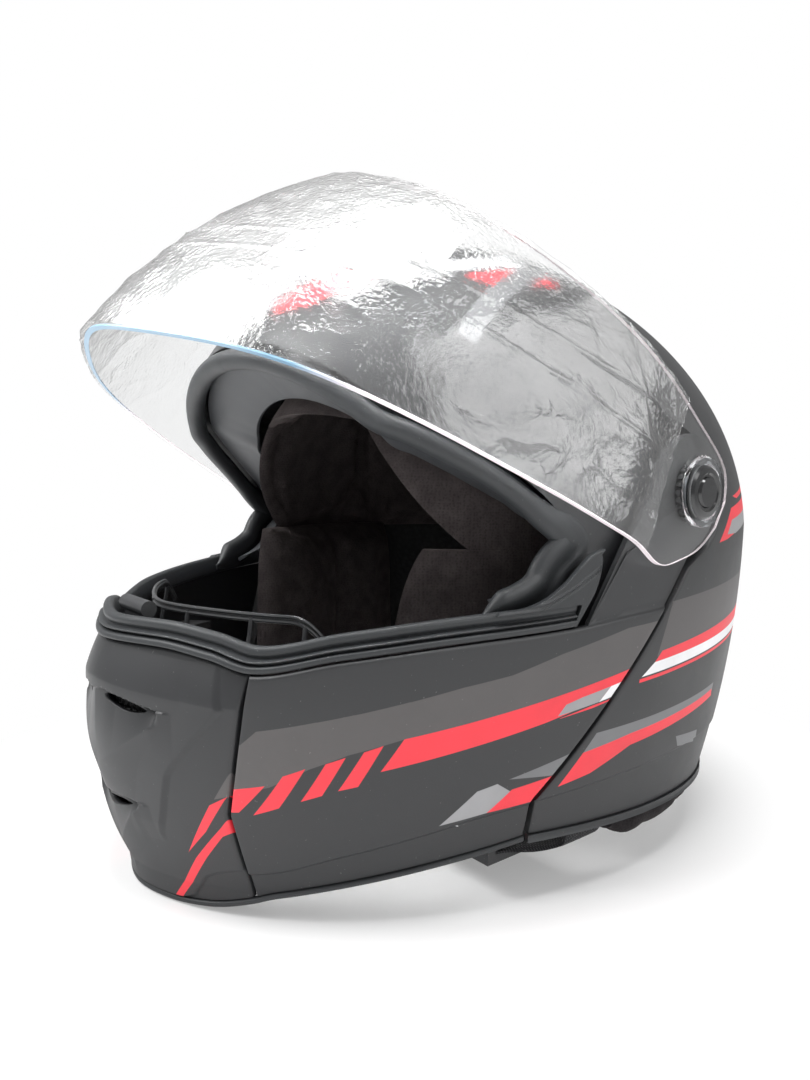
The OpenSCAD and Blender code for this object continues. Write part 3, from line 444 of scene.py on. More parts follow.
step_in, step_half, step_near, edge_round = 0.9, 0.6, 0.8, 0.8


def step_depth(z, line):
    """How much deeper the moulding lies below its step."""
    return step_in * (1 - ease((z - line + step_half) / (2 * step_half)))


def edge_depth(share):
    """A quarter round at an edge: deepest where the share is 0, and level from 1 on."""
    return edge_round * (1 - np.sqrt(1 - (1 - clamp(share)) ** 2))


def shell_skin(cs, rows):
    """The shell's outside: its edge at the parting line is rounded and it steps in near the lower edge."""
    c = cs[:, None]
    floor_z = shell_low(c)
    line = np.where(c <= 0, step_z(shell_pt(shell_az(c, 45.0), 45.0, 0, 0)[..., 1]), floor_z + 18)
    under, over = line - step_near, line + step_near
    z = np.concatenate([mix(floor_z, under, np.linspace(0, 1, 9)[None, :]),
                        mix(under, over, np.linspace(0, 1, 7)[None, 1:]),
                        mix(over, crown_z, sind(90 * np.arange(1, rows) / rows)[None, :])], 1)
    stepped = np.where(c <= 0, step_depth(z, line), 0)
    turned = edge_depth(-c / 0.006) * (c <= 0)
    az = shell_az(c, z, -np.where(c > 0, 1.0, 0.0))
    depth = recess_at(c, z) + stepped + turned * (z < pivot_z + pod_r)
    return shell_pt(az, z, 0, depth), z


shell_columns = np.concatenate([1 - np.linspace(0, 1, 110) ** 0.9 * 0.999, [0, -0.0012, -0.003, -0.006],
                                -np.linspace(0.012, 1, 90)])
shell_face, shell_z = shell_skin(shell_columns, 90)
shell_c = shell_columns[:, None]
shell_foot = shell_low(shell_c)
inner_z = mix(shell_foot, crown_z - shell_t, clamp((shell_z - shell_foot) / (crown_z - shell_foot)))
inner_z = np.minimum(shell_z, inner_z)
inner_az = shell_az(shell_c, inner_z, 3 - np.where(shell_c > 0, 1.0, 0.0))
shell_back = shell_pt(inner_az, inner_z, shell_t, recess_at(shell_c, inner_z))
crown_points = [(0, dome_y - crown_lean, crown_z), (0, dome_y - crown_lean, crown_z - shell_t)]
shell = facing_out(moulding("outer_shell", all_round(shell_face), all_round(shell_back),
                            painted("shell_paint", shell_prints), ring=True, poles=crown_points))
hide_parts("shell")
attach(shell, "helmet")

# Port seal: a rubber extrusion pressed on to the edge of the eye port. It is a round bead at the brow
# and a wide lip at the sides, and meets the hard trim in a groove.
gasket_r = 4.2


def unit(v):
    return v / np.linalg.norm(v, axis=-1, keepdims=True)


def drawn_through(points, count):
    """A natural cubic line through points, read at even steps of its length or at given shares of it."""
    steps = np.diff(points, axis=0).reshape(len(points) - 1, -1)
    t = np.concatenate([[0], np.cumsum(np.linalg.norm(steps, axis=1))])
    h = np.diff(t)
    n = len(t)
    system = np.eye(n)
    rhs = np.zeros((n,) + points.shape[1:])
    for k in range(1, n - 1):
        system[k, k - 1:k + 2] = h[k - 1], 2 * (h[k - 1] + h[k]), h[k]
        rhs[k] = 6 * ((points[k + 1] - points[k]) / h[k] - (points[k] - points[k - 1]) / h[k - 1])
    bend = np.linalg.solve(system, rhs.reshape(n, -1)).reshape(rhs.shape)
    at = t[-1] * (np.linspace(0, 1, count) if np.isscalar(count) else count)
    k = np.clip(np.searchsorted(t, at) - 1, 0, n - 2)
    shape = (-1,) + (1,) * (points.ndim - 1)
    a, b, hk = (t[k + 1] - at).reshape(shape), (at - t[k]).reshape(shape), h[k].reshape(shape)
    return ((bend[k] * a ** 3 + bend[k + 1] * b ** 3) / (6 * hk) + (points[k] / hk - bend[k] * hk / 6) * a
            + (points[k + 1] / hk - bend[k + 1] * hk / 6) * b)


# The seal follows the port's edge down the side, and its foot turns forward over the rim
side_c = np.linspace(1, 0.4, 30)
seal_foot = [(0.35, 141), (0.326, 134), (0.312, 126), (0.315, 119), (0.335, 113.5), (0.37, 110),
             (0.405, 107.8), (0.43, 106.6)]
foot_c, foot_up = np.array(seal_foot).T
seal_c, seal_z = np.append(side_c, foot_c), np.append(port_z(side_c), foot_up)
seal_places = shell_pt(shell_az(seal_c, seal_z), seal_z, shell_t / 2, recess_at(seal_c, seal_z))
seal_path = drawn_through(np.stack([seal_places, np.stack([seal_c, seal_z, 0 * seal_z], -1)], 1), 190)
seal_line, seal_z = seal_path[:, 0], seal_path[:, 1, 1]


def rounded(points, times=2):
    """An outline with its corners cut back to curves."""
    points = np.array(points, float)
    for _ in range(times):
        after = np.roll(points, -1, 0)
        points = np.stack([points * 0.75 + after * 0.25, points * 0.25 + after * 0.75], 1).reshape(-1, 2)
    return points


def port_rings(line, section):
    """Rings along a line of points. A section point is its way into the port and its way outward."""
    along = -unit(np.gradient(line, axis=0))
    x, z = line[:, 0], line[:, 2]
    outward = unit(line - np.stack([0 * x, dome_y + 0 * x, wide_z + (z - wide_z) * 0.1], -1))
    inward = unit(np.cross(along, outward))
    outward = unit(np.cross(inward, along))
    section = np.array(section)
    if section.ndim == 2:
        section = section[None]
    return line[:, None] + inward[:, None] * section[..., :1] + outward[:, None] * section[..., 1:]


def both_sides(rings):
    """Rings from the left end to the middle, carried on to the right end."""
    return np.concatenate([rings[::-1], flip(rings[1:])])


def swept(name, rings, finish, smooth=40):
    """A closed bar through rings of points, its two ends capped."""
    n, k = rings.shape[:2]
    faces = [(i * k + j, i * k + (j + 1) % k, (i + 1) * k + (j + 1) % k, (i + 1) * k + j)
             for i in range(n - 1) for j in range(k)]
    faces += [tuple(range(k)), tuple(range((n - 1) * k, n * k))]
    return facing_out(mesh_piece(name, rings.reshape(-1, 3), faces, finish, smooth))


def rubber(name, colour, rough):
    """Moulded rubber: dull, with a faint bloom and the grain of its mould."""
    made, tree, shader = finish(name, colour, rough, Specular_IOR_Level=0.35)
    grained(tree, shader, 0.04, Pebble=1500.0, Colour=colour, Roughness=rough)
    return made


bead_a = np.linspace(0, 2 * math.pi, 28)[:-1]
bead = gasket_r * np.stack([np.cos(bead_a) - 1.52, np.sin(bead_a)], -1)
wide_lip = rounded([(-10.4, -0.6), (-10.8, 1.6), (-9.4, 3.5), (-6.5, 4.1), (-3.2, 3.2), (-0.6, 2.2),
                    (2.4, 2.9), (3.6, 2.0), (3.6, 0.4), (0.8, -0.8), (-4.0, -3.4), (-8.6, -3.0)], 1)
lip_turn = drawn_through(np.concatenate([wide_lip, wide_lip[:1]]), 28)[:-1]
lip_turn = np.roll(lip_turn, -int(np.argmax(lip_turn[:, 0] + 0.01 * lip_turn[:, 1])), 0)
if lip_turn[1:14, 1].mean() < lip_turn[14:, 1].mean():
    lip_turn = np.roll(lip_turn[::-1], 1, 0)
# The bead opens out into the wide lip below the visor's plate, and the foot tapers at its end
widening = ease((158 - seal_z) / 22)[:, None, None]
seal_section = mix(bead[None], lip_turn[None], widening)
to_end = np.linalg.norm(seal_line - seal_line[-1], axis=1)[:, None, None]
seal_section = seal_section * mix(0.2, 1, ease(to_end / 13))
black_rubber = rubber("black_rubber", srgb(47, 49, 51), 0.48)
port_gasket = swept("port_seal", both_sides(port_rings(seal_line, seal_section)), black_rubber)
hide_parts("port_gasket")
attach(port_gasket, "helmet")

# Hard trim inside the port: a moulded plastic band that covers the liner's raw edge, from the
# rubber's groove back to the pads. It is wide at the brow and narrow at the sides.
eps_t, pad_t, cheek_t, lay_gap = 20, 9, 20, 0.6
pad_off = arm_recess + shell_t + lay_gap
eps_in = pad_off + eps_t
trim_depth = eps_in - shell_t
band = [(0.2, -gasket_r * 1.1), (-0.6, -gasket_r), (-1.8, -gasket_r * 1.05), (-2.4, -gasket_r * 1.4),
        (-6, -trim_depth), (-5.4, -trim_depth - 0.8), (-4.2, -trim_depth - 0.8), (-3.6, -trim_depth)]


def plastic(name, colour, rough, pebble=1800.0, depth=0.05):
    """Moulded plastic with a fine spark-eroded grain."""
    made, tree, shader = finish(name, colour, rough)
    grained(tree, shader, depth, Pebble=pebble, Colour=colour, Roughness=rough)
    return made


trim_low_z = 109.5
trim_line, trim_z = seal_line[seal_z > trim_low_z], seal_z[seal_z > trim_low_z]
trim_rings = port_rings(trim_line, band)
rubber_side = port_rings(trim_line, [band[3]] * len(band))
narrow = mix(0.25, 1, ease((trim_z - 124) / 42))[:, None, None]
trim_rings[:, 4:] = mix(rubber_side[:, 4:], trim_rings[:, 4:], narrow)
brow_trim = swept("port_trim", both_sides(trim_rings), plastic("trim_plastic", srgb(66, 68, 71), 0.5))
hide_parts("brow_trim")
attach(brow_trim, "helmet")

# Rubber edging pressed on to the shell's lower edge, from one parting line round the back to the
# other. Its corners are rounded and it covers the lining's edge.
edging_t, edging_draw = 0.9, 1.4
edging = rounded([(-edging_t, 0.3), (-edging_t, 3.2), (shell_t + edging_t, 3.2),
                  (shell_t + edging_t, 0.3)], 2)
rear_cs = -np.linspace(0, 1, 120)[:, None]
rear_low = shell_low(rear_cs) - 0.3
rear_in = edging[None, :, 0]
rear_o = rear_in - np.where(rear_in > 0, edging_draw, -edging_draw) * np.minimum(np.abs(rear_in), 1)
rear_rings = shell_pt(shell_az(rear_cs, rear_low), rear_low, rear_o, 0)
rear_rings[..., 2] = rear_low - edging[None, :, 1] + 0.3
rear_trim = swept("rear_edging", np.concatenate([flip(rear_rings), rear_rings[-2::-1]]), black_rubber)
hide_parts("rear_trim")
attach(rear_trim, "helmet")

# Energy absorbing liner: expanded foam beads moulded to the inside of the shell and painted black.
# It is a thick open cap, glued in behind the trim, and every pad is clipped to it.
foam_black = srgb(38, 38, 40)
foam_finish, tree, shader = finish("black_foam", foam_black, 0.8)
beads = add(tree, "TexVoronoi", {"Vector": object_place(tree), "Scale": 330.0})
# Painted shade: each bead is lighter in its middle and darker in the sunk joins between beads.
painted_bead_shade = spread(tree, beads.outputs["Distance"], (0.0, 0.7), (1.25, 0.75))
tree.links.new(toned(tree, foam_black[:3], painted_bead_shade), shader.inputs["Base Color"])
bumped(tree, shader, beads.outputs["Distance"], -0.35)


def eps_low(c):
    """Height of the liner's edge."""
    return curve(c, [(-1, edge_z + 22), (-0.3, edge_z + 16), (-0.1, edge_z + 16), (0, edge_z + 38),
                     (0.04, edge_z + 50), (0.15, rim_z + 2), (0.26, rim_z + 27), (0.33, rim_z + 48),
                     (0.42, brow_z - 46), (0.55, brow_z - 29), (0.72, brow_z - 6), (0.88, brow_z + 3),
                     (1, brow_z + 7)])


def eps_net(side, o, top, rows=40):
    """One face of the liner, at its offsets from the outline at side, back and top."""
    cs = np.concatenate([np.linspace(1, 0, 70), -np.linspace(0, 1, 50)[1:]])[:, None]
    z = mix(eps_low(cs), crown_z - top, sind(90 * np.arange(rows) / rows)[None, :])
    return around(shell_az(cs, z), dome_r(shell_az(cs, z), z, side, o), z, lean(z))


liner_gap = shell_t + lay_gap
liner_faces = all_round(eps_net(pad_off, liner_gap, liner_gap)), all_round(eps_net(eps_in, eps_in, eps_in))
liner = facing_out(moulding("foam_liner", *liner_faces, foam_finish, ring=True,
                            poles=[(0, dome_y - crown_lean, crown_z - o) for o in (liner_gap, eps_in)]))
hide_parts("eps_liner")
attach(liner, "helmet")

# Comfort pads: brushed knit over soft foam, sewn round the edge and through their channels, and
# clipped into the liner. Each cover is blown up by cloth simulation, held at its back and seams.
fleece, given, out = group("brushed_knit", {"Colour": (0.03, 0.02, 0.02, 1.0), "Loop": 900.0},
                           {"Colour": "Color", "Height": "Float"})
place = object_place(fleece)
loops = add(fleece, "TexVoronoi", {"Vector": place, "Scale": given["Loop"], "Randomness": 0.55})
nap = add(fleece, "TexNoise", {"Vector": place, "Scale": 120.0, "Detail": 4.0})
fibre = add(fleece, "TexNoise", {"Vector": place, "Scale": 1600.0, "Detail": 2.0})
height = reckon(fleece, "ADD", loops.outputs["Distance"], fibre.outputs["Fac"])
shade = spread(fleece, nap.outputs["Fac"], (0.35, 0.65), (0.8, 1.25))
# Painted shade: the knit is lighter on its raised loops and darker in the hollows between them.
painted_loop_shade = spread(fleece, height, (0.3, 1.1), (0.7, 1.35))
strength = reckon(fleece, "MULTIPLY", shade, painted_loop_shade)
fleece.links.new(toned(fleece, given["Colour"], strength), out["Colour"])
fleece.links.new(height, out["Height"])


def fabric(name, colour, sheen):
    """A knitted cover with a soft bloom at grazing angles."""
    made, tree, shader = finish(name, colour, 0.95, Specular_IOR_Level=0.12, Sheen_Weight=sheen,
                                Sheen_Roughness=0.45)
    shader.inputs["Sheen Tint"].default_value = srgb(170, 158, 155)
    knit = placed(tree, fleece, Colour=colour)
    tree.links.new(knit["Colour"], shader.inputs["Base Color"])
    bumped(tree, shader, knit["Height"], 0.12)
    return made


pad_cloth = fabric("pad_cloth", srgb(56, 51, 51), 0.2)
collar_cloth = fabric("collar_cloth", srgb(40, 38, 39), 0.1)
cloth_steps = 20


def inflated(piece, held, pressure, grow, cap):
    """Blows a cover up with cloth simulation. Held points stay, and none moves more than the cap."""
    start = np.array([v.co for v in piece.data.vertices])
    pins = piece.vertex_groups.new(name="held")
    pins.add([int(i) for i in np.flatnonzero(held)], 1.0, "REPLACE")
    cloth = piece.modifiers.new("cover", "CLOTH")
    cloth.settings.quality = 4
    cloth.settings.mass = 0.15
    cloth.settings.tension_stiffness = cloth.settings.compression_stiffness = 12
    cloth.settings.bending_stiffness = 0.15
    cloth.settings.vertex_group_mass = "held"
    cloth.settings.use_pressure = True
    cloth.settings.uniform_pressure_force = pressure
    cloth.settings.shrink_min = -grow
    cloth.settings.effector_weights.gravity = 0
    cloth.collision_settings.use_collision = False
    for step in range(1, cloth_steps + 1):
        bpy.context.scene.frame_set(step)
    blown = piece.evaluated_get(bpy.context.evaluated_depsgraph_get()).to_mesh()
    moved = np.array([v.co for v in blown.vertices]) - start
    piece.to_mesh_clear()
    piece.modifiers.remove(cloth)
    piece.vertex_groups.clear()
    far = np.linalg.norm(moved, axis=1, keepdims=True)
    moved *= np.minimum(1, cap / 1000 / np.maximum(far, 1e-9))
    piece.data.vertices.foreach_set("co", (start + moved).astype(np.float32).ravel())
    piece.data.update()
    bpy.context.scene.frame_set(1)


def swell(u, v, n):
    """Fullness over a pad, nothing at its edges and drawn in along n - 1 sewn channels."""
    full = (1 - np.abs(2 * u - 1) ** 4) * (1 - np.abs(2 * v - 1) ** 4)
    return np.sqrt(full) * (1 - 0.16 * np.abs(cosd(180 * n * u)) ** 12 if n else 1)


def pad_net(az, z, thick, n, gap, face, cols=72, rows=48):
    """One face of a pad: az and z are functions of its place across, u, and up, v."""
    u, v = np.meshgrid(np.linspace(0, 1, cols + 1), np.linspace(0, 1, rows + 1), indexing="ij")
    drawn = 0.5 + (u - 0.5) * (1 - 0.09 * np.abs(2 * v - 1) ** 4)
    o = eps_in + gap + (thick * (0.25 + 0.75 * swell(u, v, n)) if face else 0)
    return dome_pt(az(drawn, v), z(u, v), o), u, v


def sewn_pad(name, az, z, thick, n, gap, cloth=pad_cloth, cap=2.2):
    """A pad with its cover and its sewn channels."""
    front, u, v = pad_net(az, z, thick, n, gap, True)
    back = pad_net(az, z, thick, n, gap, False)[0]
    pad = facing_out(moulding(name, back, front, cloth, smooth=60))
    border = (np.minimum(u, 1 - u) < 0.02) | (np.minimum(v, 1 - v) < 0.02)
    channel = (np.abs(cosd(180 * n * u)) > 0.985) & (np.abs(v - 0.5) < 0.47) if n else np.zeros_like(border)
    held = np.concatenate([np.ones(u.size, bool), (border | channel).ravel()])
    inflated(pad, held, pressure=2.5, grow=0.035, cap=cap)
    return pad


def leaning(a, b, arch=0):
    """Heights from a to b up a pad, the lower edge arched by so much in its middle."""
    return lambda u, v: mix(a + arch * (1 - (2 * u - 1) ** 2), b, v)


# Each pad's azimuth across and height up, its thickness, channels, gap to the liner and number of sides
pads = {
    "brow_pad": (lambda u, v: mix(147, 33, u),
                 leaning(brow_z - 42, brow_z - 3, 17), pad_t, 3, 2.1, 1),
    "temple_pad": (lambda u, v: mix(mix(43, 76, v), -62, u),
                   leaning(rim_z + 31, brow_z - 4), pad_t, 2, 2.1, 2),
    "cheek_pad": (lambda u, v: mix(mix(62, 54, v), -16, u),
                  leaning(edge_z + 14, rim_z + 33), cheek_t, 2, 1.5, 2)}
for name, (az, z, thick, n, gap, sides) in pads.items():
    pad = sewn_pad(name + "_cover", az, z, thick, n, gap)
    if sides == 1:
        placed_pads = [(pad, name)]
    else:
        other = pad.copy()
        other.data = pad.data.copy()
        other.data.transform(Matrix.Diagonal((-1, 1, 1, 1)))
        other.data.flip_normals()
        bpy.context.collection.objects.link(other)
        placed_pads = [(pad, name + "_left"), (other, name + "_right")]
    for piece, node in placed_pads:
        piece.name = node + "_cover"
        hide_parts(node)
        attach(piece, "helmet")

# Crown pad: a quilted cap of the same knit that hangs in the top of the liner. Its quilting runs
# from the middle down to the edge.
crown_off = eps_in + 1.3
crown_az = np.linspace(90, -90, 90)[:, None]
crown_rows = np.arange(34)[None, :] * 6 / 34


def crown_net(face):
    """The pad's back where face is 0, and its quilted front where it is 1."""
    quilting = 1 - 0.14 * np.abs(cosd(4 * crown_az)) ** 10
    o = crown_off + face * pad_t * (0.35 + 0.65 * ease(crown_rows / 1.5)) * quilting
    z = mix(brow_z + 2, crown_z - o, sind(13.5 * crown_rows))
    return dome_pt(crown_az, z, o)


crown_pad = facing_out(moulding(
    "crown_pad_cover", all_round(crown_net(0)), all_round(crown_net(1)), pad_cloth, ring=True, smooth=60,
    poles=[(0, dome_y - crown_lean, crown_z - crown_off - t) for t in (0, pad_t)]))
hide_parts("crown_pad")
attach(crown_pad, "helmet")

# Neck roll: a padded collar of denser cloth round the back of the neck opening, pressed flat below.
# Its underside is drawn 10 mm higher than its solid's, behind the shell's edge as in the photo.
roll_w, roll_h, roll_foot, roll_low = 11, 30, 1.8, 12
roll_i = np.linspace(0, 18, 140)
roll_t = mix(4, -90, roll_i / 18)[:, None]
roll_s = (mix(0.55, 1, ease(roll_i)) * (1 - 0.07 * np.abs(cosd(60 * (roll_i + 1))) ** 8))[:, None]
roll_a = np.linspace(0, 360, 29)[None, :-1]
roll_rings = dome_pt(roll_t, edge_z - 4, shell_t - 2.4 + roll_w * (1.12 - roll_s * cosd(roll_a)))
roll_up = np.maximum(0, roll_h / 2 - roll_foot + roll_s * (roll_h / 2) * sind(roll_a)) / (roll_h - roll_foot)
roll_rings[..., 2] = mix(roll_low, roll_h - roll_foot, roll_up)
neck_roll = swept("neck_roll_cover", np.concatenate([roll_rings, flip(roll_rings[-2::-1])]), collar_cloth, 60)
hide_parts("neck_roll")
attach(neck_roll, "helmet")

# Chin bar: a moulded shell that runs from arm to arm, with a step at the front for its panel. Its
# sides carry the printed bands, and its arms turn on the pivots under the visor.
bar_t, edge_h, panel_seat, arm_in = 3, 2.4, 6.5, 1.5
rim_turn, rim_turn_h = 0.9, 1.2


def rim_at(c):
    """Height of the bar's rim, which dips at the front panel's seam and rises towards the arm."""
    return curve(c, [(0, rim_z + rim_rise * 1.3), (0.1, rim_z + rim_rise * 1.15),
                     (0.21, rim_z + rim_rise * 0.9), (0.45, rim_z + rim_rise * 0.5),
                     (0.6, rim_z + rim_rise * 0.07), (seam_c, rim_z - rim_dip),
                     (0.79, rim_z - rim_dip * 0.3), (0.88, rim_z + 0.6), (1, rim_z)])


def arm_top(c):
    round_top = pivot_z + pod_r * np.sqrt(1 - clamp(c / arm_c) ** 2)
    return np.where(c < arm_c, round_top, rim_at(np.maximum(c, arm_c)))


def bar_low(c):
    """Height of the bar's lower edge."""
    return curve(c, [(0, edge_z), (0.32, edge_z * 0.75), (0.66, edge_z * 0.4), (0.82, edge_h + 1.5),
                     (0.9, edge_h + 0.3), (1, edge_h + 0.3)])


def bar_az(c, z):
    """Azimuth of a column: c is 0 at the parting line, seam_c at the panel and 1 at the middle."""
    seam = mix(seam_low, seam_c, clamp(z / rim_z))
    warped = np.where(c < seam_c, c * seam / seam_c, 1 - (1 - c) * (1 - seam) / (1 - seam_c))
    return mix(az_of(part_y(z, part_fwd + part_gap, pod_r), z), 90, warped)


def arm_to_arm(net):
    """Columns of the left side, from the arm to the middle, joined to their mirror image."""
    return np.concatenate([flip(net), net[-2::-1]])


def bar_rows(c, rows):
    """Heights up the bar's side: close together at the step and at the rim, then on up the arm."""
    line = step_z(bar_pt(bar_az(c, 30.0), 30.0, 0)[..., 1])
    rim, top = rim_at(c), np.where(c <= arm_c, arm_top(np.minimum(c, arm_c)), rim_at(c))
    under, over = line - step_near, line + step_near
    z = np.concatenate([mix(bar_low(c), under, np.linspace(0, 1, 7)[None, :]),
                        mix(under, over, np.linspace(0, 1, 7)[None, 1:]),
                        mix(over, rim - 1.4, np.linspace(0, 1, rows)[None, 1:]),
                        rim - 0.9, rim - 0.45, rim - 0.15, rim, np.minimum(rim + 0.8, top),
                        mix(np.minimum(rim + 0.8, top), top, np.linspace(0, 1, 24)[None, 1:])], 1)
    return z, step_depth(z, line)


def rim_depth(c, z):
    """How far the bar and its panel turn in towards the rim."""
    return rim_turn * clamp((z - rim_at(c) + rim_turn_h) / rim_turn_h) ** 2


# Columns lie close together where an edge is rounded
near_edge = np.array([0.0, 0.0012, 0.003, 0.0055])


def bar_skin(cs, rows=48):
    """Outer and inner face: rounded edges, a lower arm under the visor and a step for the panel."""
    c = cs[:, None]
    z, stepped = bar_rows(c, rows)
    seat = np.where(c > seam_c, panel_seat, 0)
    to_edge = np.minimum(np.abs(seam_c - c), c) / near_edge[-1]
    turned = edge_depth(to_edge) * (c <= seam_c)
    on_arm = (c <= arm_c) & (z > rim_at(c) + 0.05)
    sunk = np.where(on_arm, arm_in, rim_depth(c, z))
    outer = bar_pt(bar_az(c, z), z, seat + np.where(c > seam_c, 0, stepped + np.maximum(turned, sunk)))
    return outer, bar_pt(bar_az(c, z), z, seat + bar_t + np.where(on_arm, arm_in, 0))


bar_columns = np.concatenate([
    near_edge, np.linspace(0.012, arm_c, 40), np.linspace(arm_c + 0.004, seam_c - 0.012, 70),
    seam_c - near_edge[::-1], np.linspace(seam_c + 0.004, 1, 40)])
bar_prints = [
    (charcoal, "side", [(-142, 50), (-133, 52), (-128, 54), (-118.5, 61.3), (-118.5, 77.9), (-133, 74),
                        (-138, 66)]),
    (charcoal, "side", [(-119, 61), (-108.5, 66.2), (-108.5, 80.3), (-119, 77.7)]),
    (charcoal, "side", [(-109, 66), (-92.5, 71.1), (-92.5, 84.1), (-109, 80.1)]),
    (charcoal, "side", [(-93, 71), (-58.5, 77.9), (-58.5, 91.1), (-76, 88), (-93, 83.9)]),
    (charcoal, "side", [(-59, 77.8), (40, 97.8), (40, 107.5), (17, 106), (-10, 104), (-40, 97), (-59, 91)]),
    (red, "side", [(-93, 71), (30, 95.6), (30, 89), (-40, 73), (-74, 64), (-100, 57)]),
    (silver, "side", [(-39, 74), (-36, 78), (-29, 80), (-16, 82.6), (-21, 77.2)]),
    (white, "side", [(-21, 77.2), (-16, 82.6), (30, 91.5), (30, 87)]),
    (red, "side", [(-38, 73), (-24, 75.2), (-5, 79.4), (-5, 80.4), (-24, 76.2), (-38, 73.9)]),
    (red, "side", [(-140, 42.5), (-140, 51), (-134, 53), (-129.2, 54.4), (-134, 43.6)]),
    (red, "side", [(-130.5, 43), (-125.2, 58.3), (-119.8, 61.2), (-124.7, 46.3)]),
    (red, "side", [(-119.5, 49), (-114.6, 63), (-109.4, 65.2), (-114.2, 51.3)]),
    (red, "side", [(-110, 53), (-104.4, 67), (-99, 69), (-104.6, 54.4)]),
    (silver, "side", [(-77, 37), (-66, 49), (-59, 51), (-53, 47), (-61, 40)]),
    (steel_grey, "side", [(-59, 51), (-28, 59.5), (-20, 50), (-36, 51), (-53, 47)]),
    (red, "side", [(-61, 40), (-53, 48), (-34, 51.5), (-34, 43)])]
bar_outer, bar_inner = bar_skin(bar_columns)
chin_bar = facing_out(moulding("chin_bar_side", arm_to_arm(bar_outer), arm_to_arm(bar_inner),
                               painted("bar_paint", bar_prints)))
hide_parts("chin_bar_shell")
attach(chin_bar, "chin_bar")

# Front panel: a separate moulding snapped into the step of the bar. Flat facets lead the air to its
# slots, a ridge runs down each side and its edges are eased.
panel_t, panel_wall, deepest, ridge_h = 3, 1.7, 3.3, 1.1
# Each facet's lower and upper edge seen from the front, its half width and its depth
upper_facet = [(0, 50), (31, 70.5), (36, 72)], [(0, 79.5), (7, 80.5), (33, 76.5)], 33, 3.2
lower_facet = [(0, 19), (13, 33), (19, 37.5)], [(0, 40), (18, 39.5)], 18, 2.6
ridge = [(30, 25), (40, 29), (54, 34), (57, 36), (80, 55), (83, 54), (98, 51)]


def straight(x, knots):
    return np.interp(x, [k[0] for k in knots], [k[1] for k in knots])


def dish(x, z, low, top, half, deep):
    """A flat facet that sinks from a raised lower edge towards the slot above it."""
    foot, head = straight(x, low), straight(x, top)
    inside = clamp((half - x) / 2.5 + 0.5)
    lip = 1.5
    sinks = deep * mix(0.35, 1, clamp(x / 12)) + lip * inside
    slope = clamp((z - foot) / np.maximum(head - foot, 1)) * sinks
    below = clamp(1 - (foot - z) / 13) * (z < foot) + (z >= foot)
    edge = lip * below * (z < head) * clamp((half + 6 - x) / 8)
    return slope * clamp((head - z) / 0.6 + 0.5) * inside - edge


def panel_depth(x, z):
    """How deep the panel's face lies at a place seen from the front."""
    x = np.abs(x)
    tilt = 0.25 * np.maximum(z - mix(84, 81, clamp(x / 53)), 0)
    off = x - straight(z, ridge)
    raised_by = ridge_h * np.where(off < 0, clamp(1 + off / 12), clamp(1 - off / 1.8)) * clamp((z - 26) / 8)
    raised_by = raised_by * clamp((97 - z) / 14)
    line = curve(x, [(0, -4), (30, 5), (32, 8), (38, 15), (53, 20), (70, 22)])
    return tilt - raised_by + step_depth(z, line) + dish(x, z, *upper_facet) + dish(x, z, *lower_facet)


panel_c = seam_c + 0.0065
panel_columns = np.concatenate([panel_c + near_edge, np.linspace(seam_c + 0.014, 1, 130)])
pc = panel_columns[:, None]
panel_z = np.concatenate([mix(bar_low(pc), rim_at(pc) - 1.2, np.linspace(0, 1, 190)[None, :]),
                          rim_at(pc) - 0.6, rim_at(pc) - 0.2, rim_at(pc)], 1)
flat_face = bar_pt(bar_az(pc, panel_z), panel_z, 0)
sunk = np.minimum(panel_depth(flat_face[..., 0], panel_z), deepest)
turned = edge_depth((pc - panel_c) / near_edge[-1])
panel_az = bar_az(pc, panel_z)
panel_depths = sunk + np.maximum(turned, rim_depth(pc, panel_z)), np.maximum(panel_t, sunk + panel_wall)
panel_faces = [arm_to_arm(bar_pt(panel_az, panel_z, o)) for o in panel_depths]
panel_prints = [
    (charcoal, "front", [(48, 46), (58, 62), (70, 70), (70, 55), (53, 49)]),
    (red, "front", [(34, 24), (47, 45), (53, 49), (43, 34)]),
    (red, "front", [(55, 45), (56, 38), (48, 33), (48, 36)]),
    (red, "front", [(48, 36), (48, 33), (40, 23), (36, 22)]),
    (red, "front", [(36, 22), (40, 23), (25, 3), (22, 3)])]
front_panel = facing_out(moulding("chin_front_panel", *panel_faces, painted("panel_paint", panel_prints)))


def prism(points):
    """A closed prism for cutting. The points are its outline at one end and then at the other."""
    n = len(points) // 2
    faces = [(i, (i + 1) % n, n + (i + 1) % n, n + i) for i in range(n)]
    faces += [tuple(range(n)), tuple(range(n, 2 * n))]
    return facing_out(mesh_piece("cutter", points, faces, foam_finish))


def cut_by(piece, cutters):
    """Cuts the cutters' shapes out of a piece."""
    for cutter in cutters:
        cut = piece.modifiers.new("cut", "BOOLEAN")
        cut.object, cut.operation, cut.solver = cutter, "DIFFERENCE", "EXACT"
    result = bpy.data.meshes.new_from_object(piece.evaluated_get(bpy.context.evaluated_depsgraph_get()))
    piece.modifiers.clear()
    old, piece.data = piece.data, result
    bpy.data.meshes.remove(old)
    for cutter in cutters:
        old = cutter.data
        bpy.data.objects.remove(cutter)
        bpy.data.meshes.remove(old)


upper_eye = rounded([(5.5, 78.3), (9, 78.9), (27.6, 75.9), (26, 74.4), (18, 73.6), (9, 75.4)], 1)
lower_eye = rounded([(-14.5, 38.2), (14.5, 38.2), (9, 35.8), (0, 34.2), (-9, 35.8)], 1)
cut_from, cut_to = -200, -120
cut_by(front_panel, [prism([(x, y, z) for y in (cut_from, cut_to) for x, z in eye])
                     for eye in (upper_eye, upper_eye[::-1] * [-1, 1], lower_eye)])
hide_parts("front_panel")
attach(front_panel, "chin_bar")

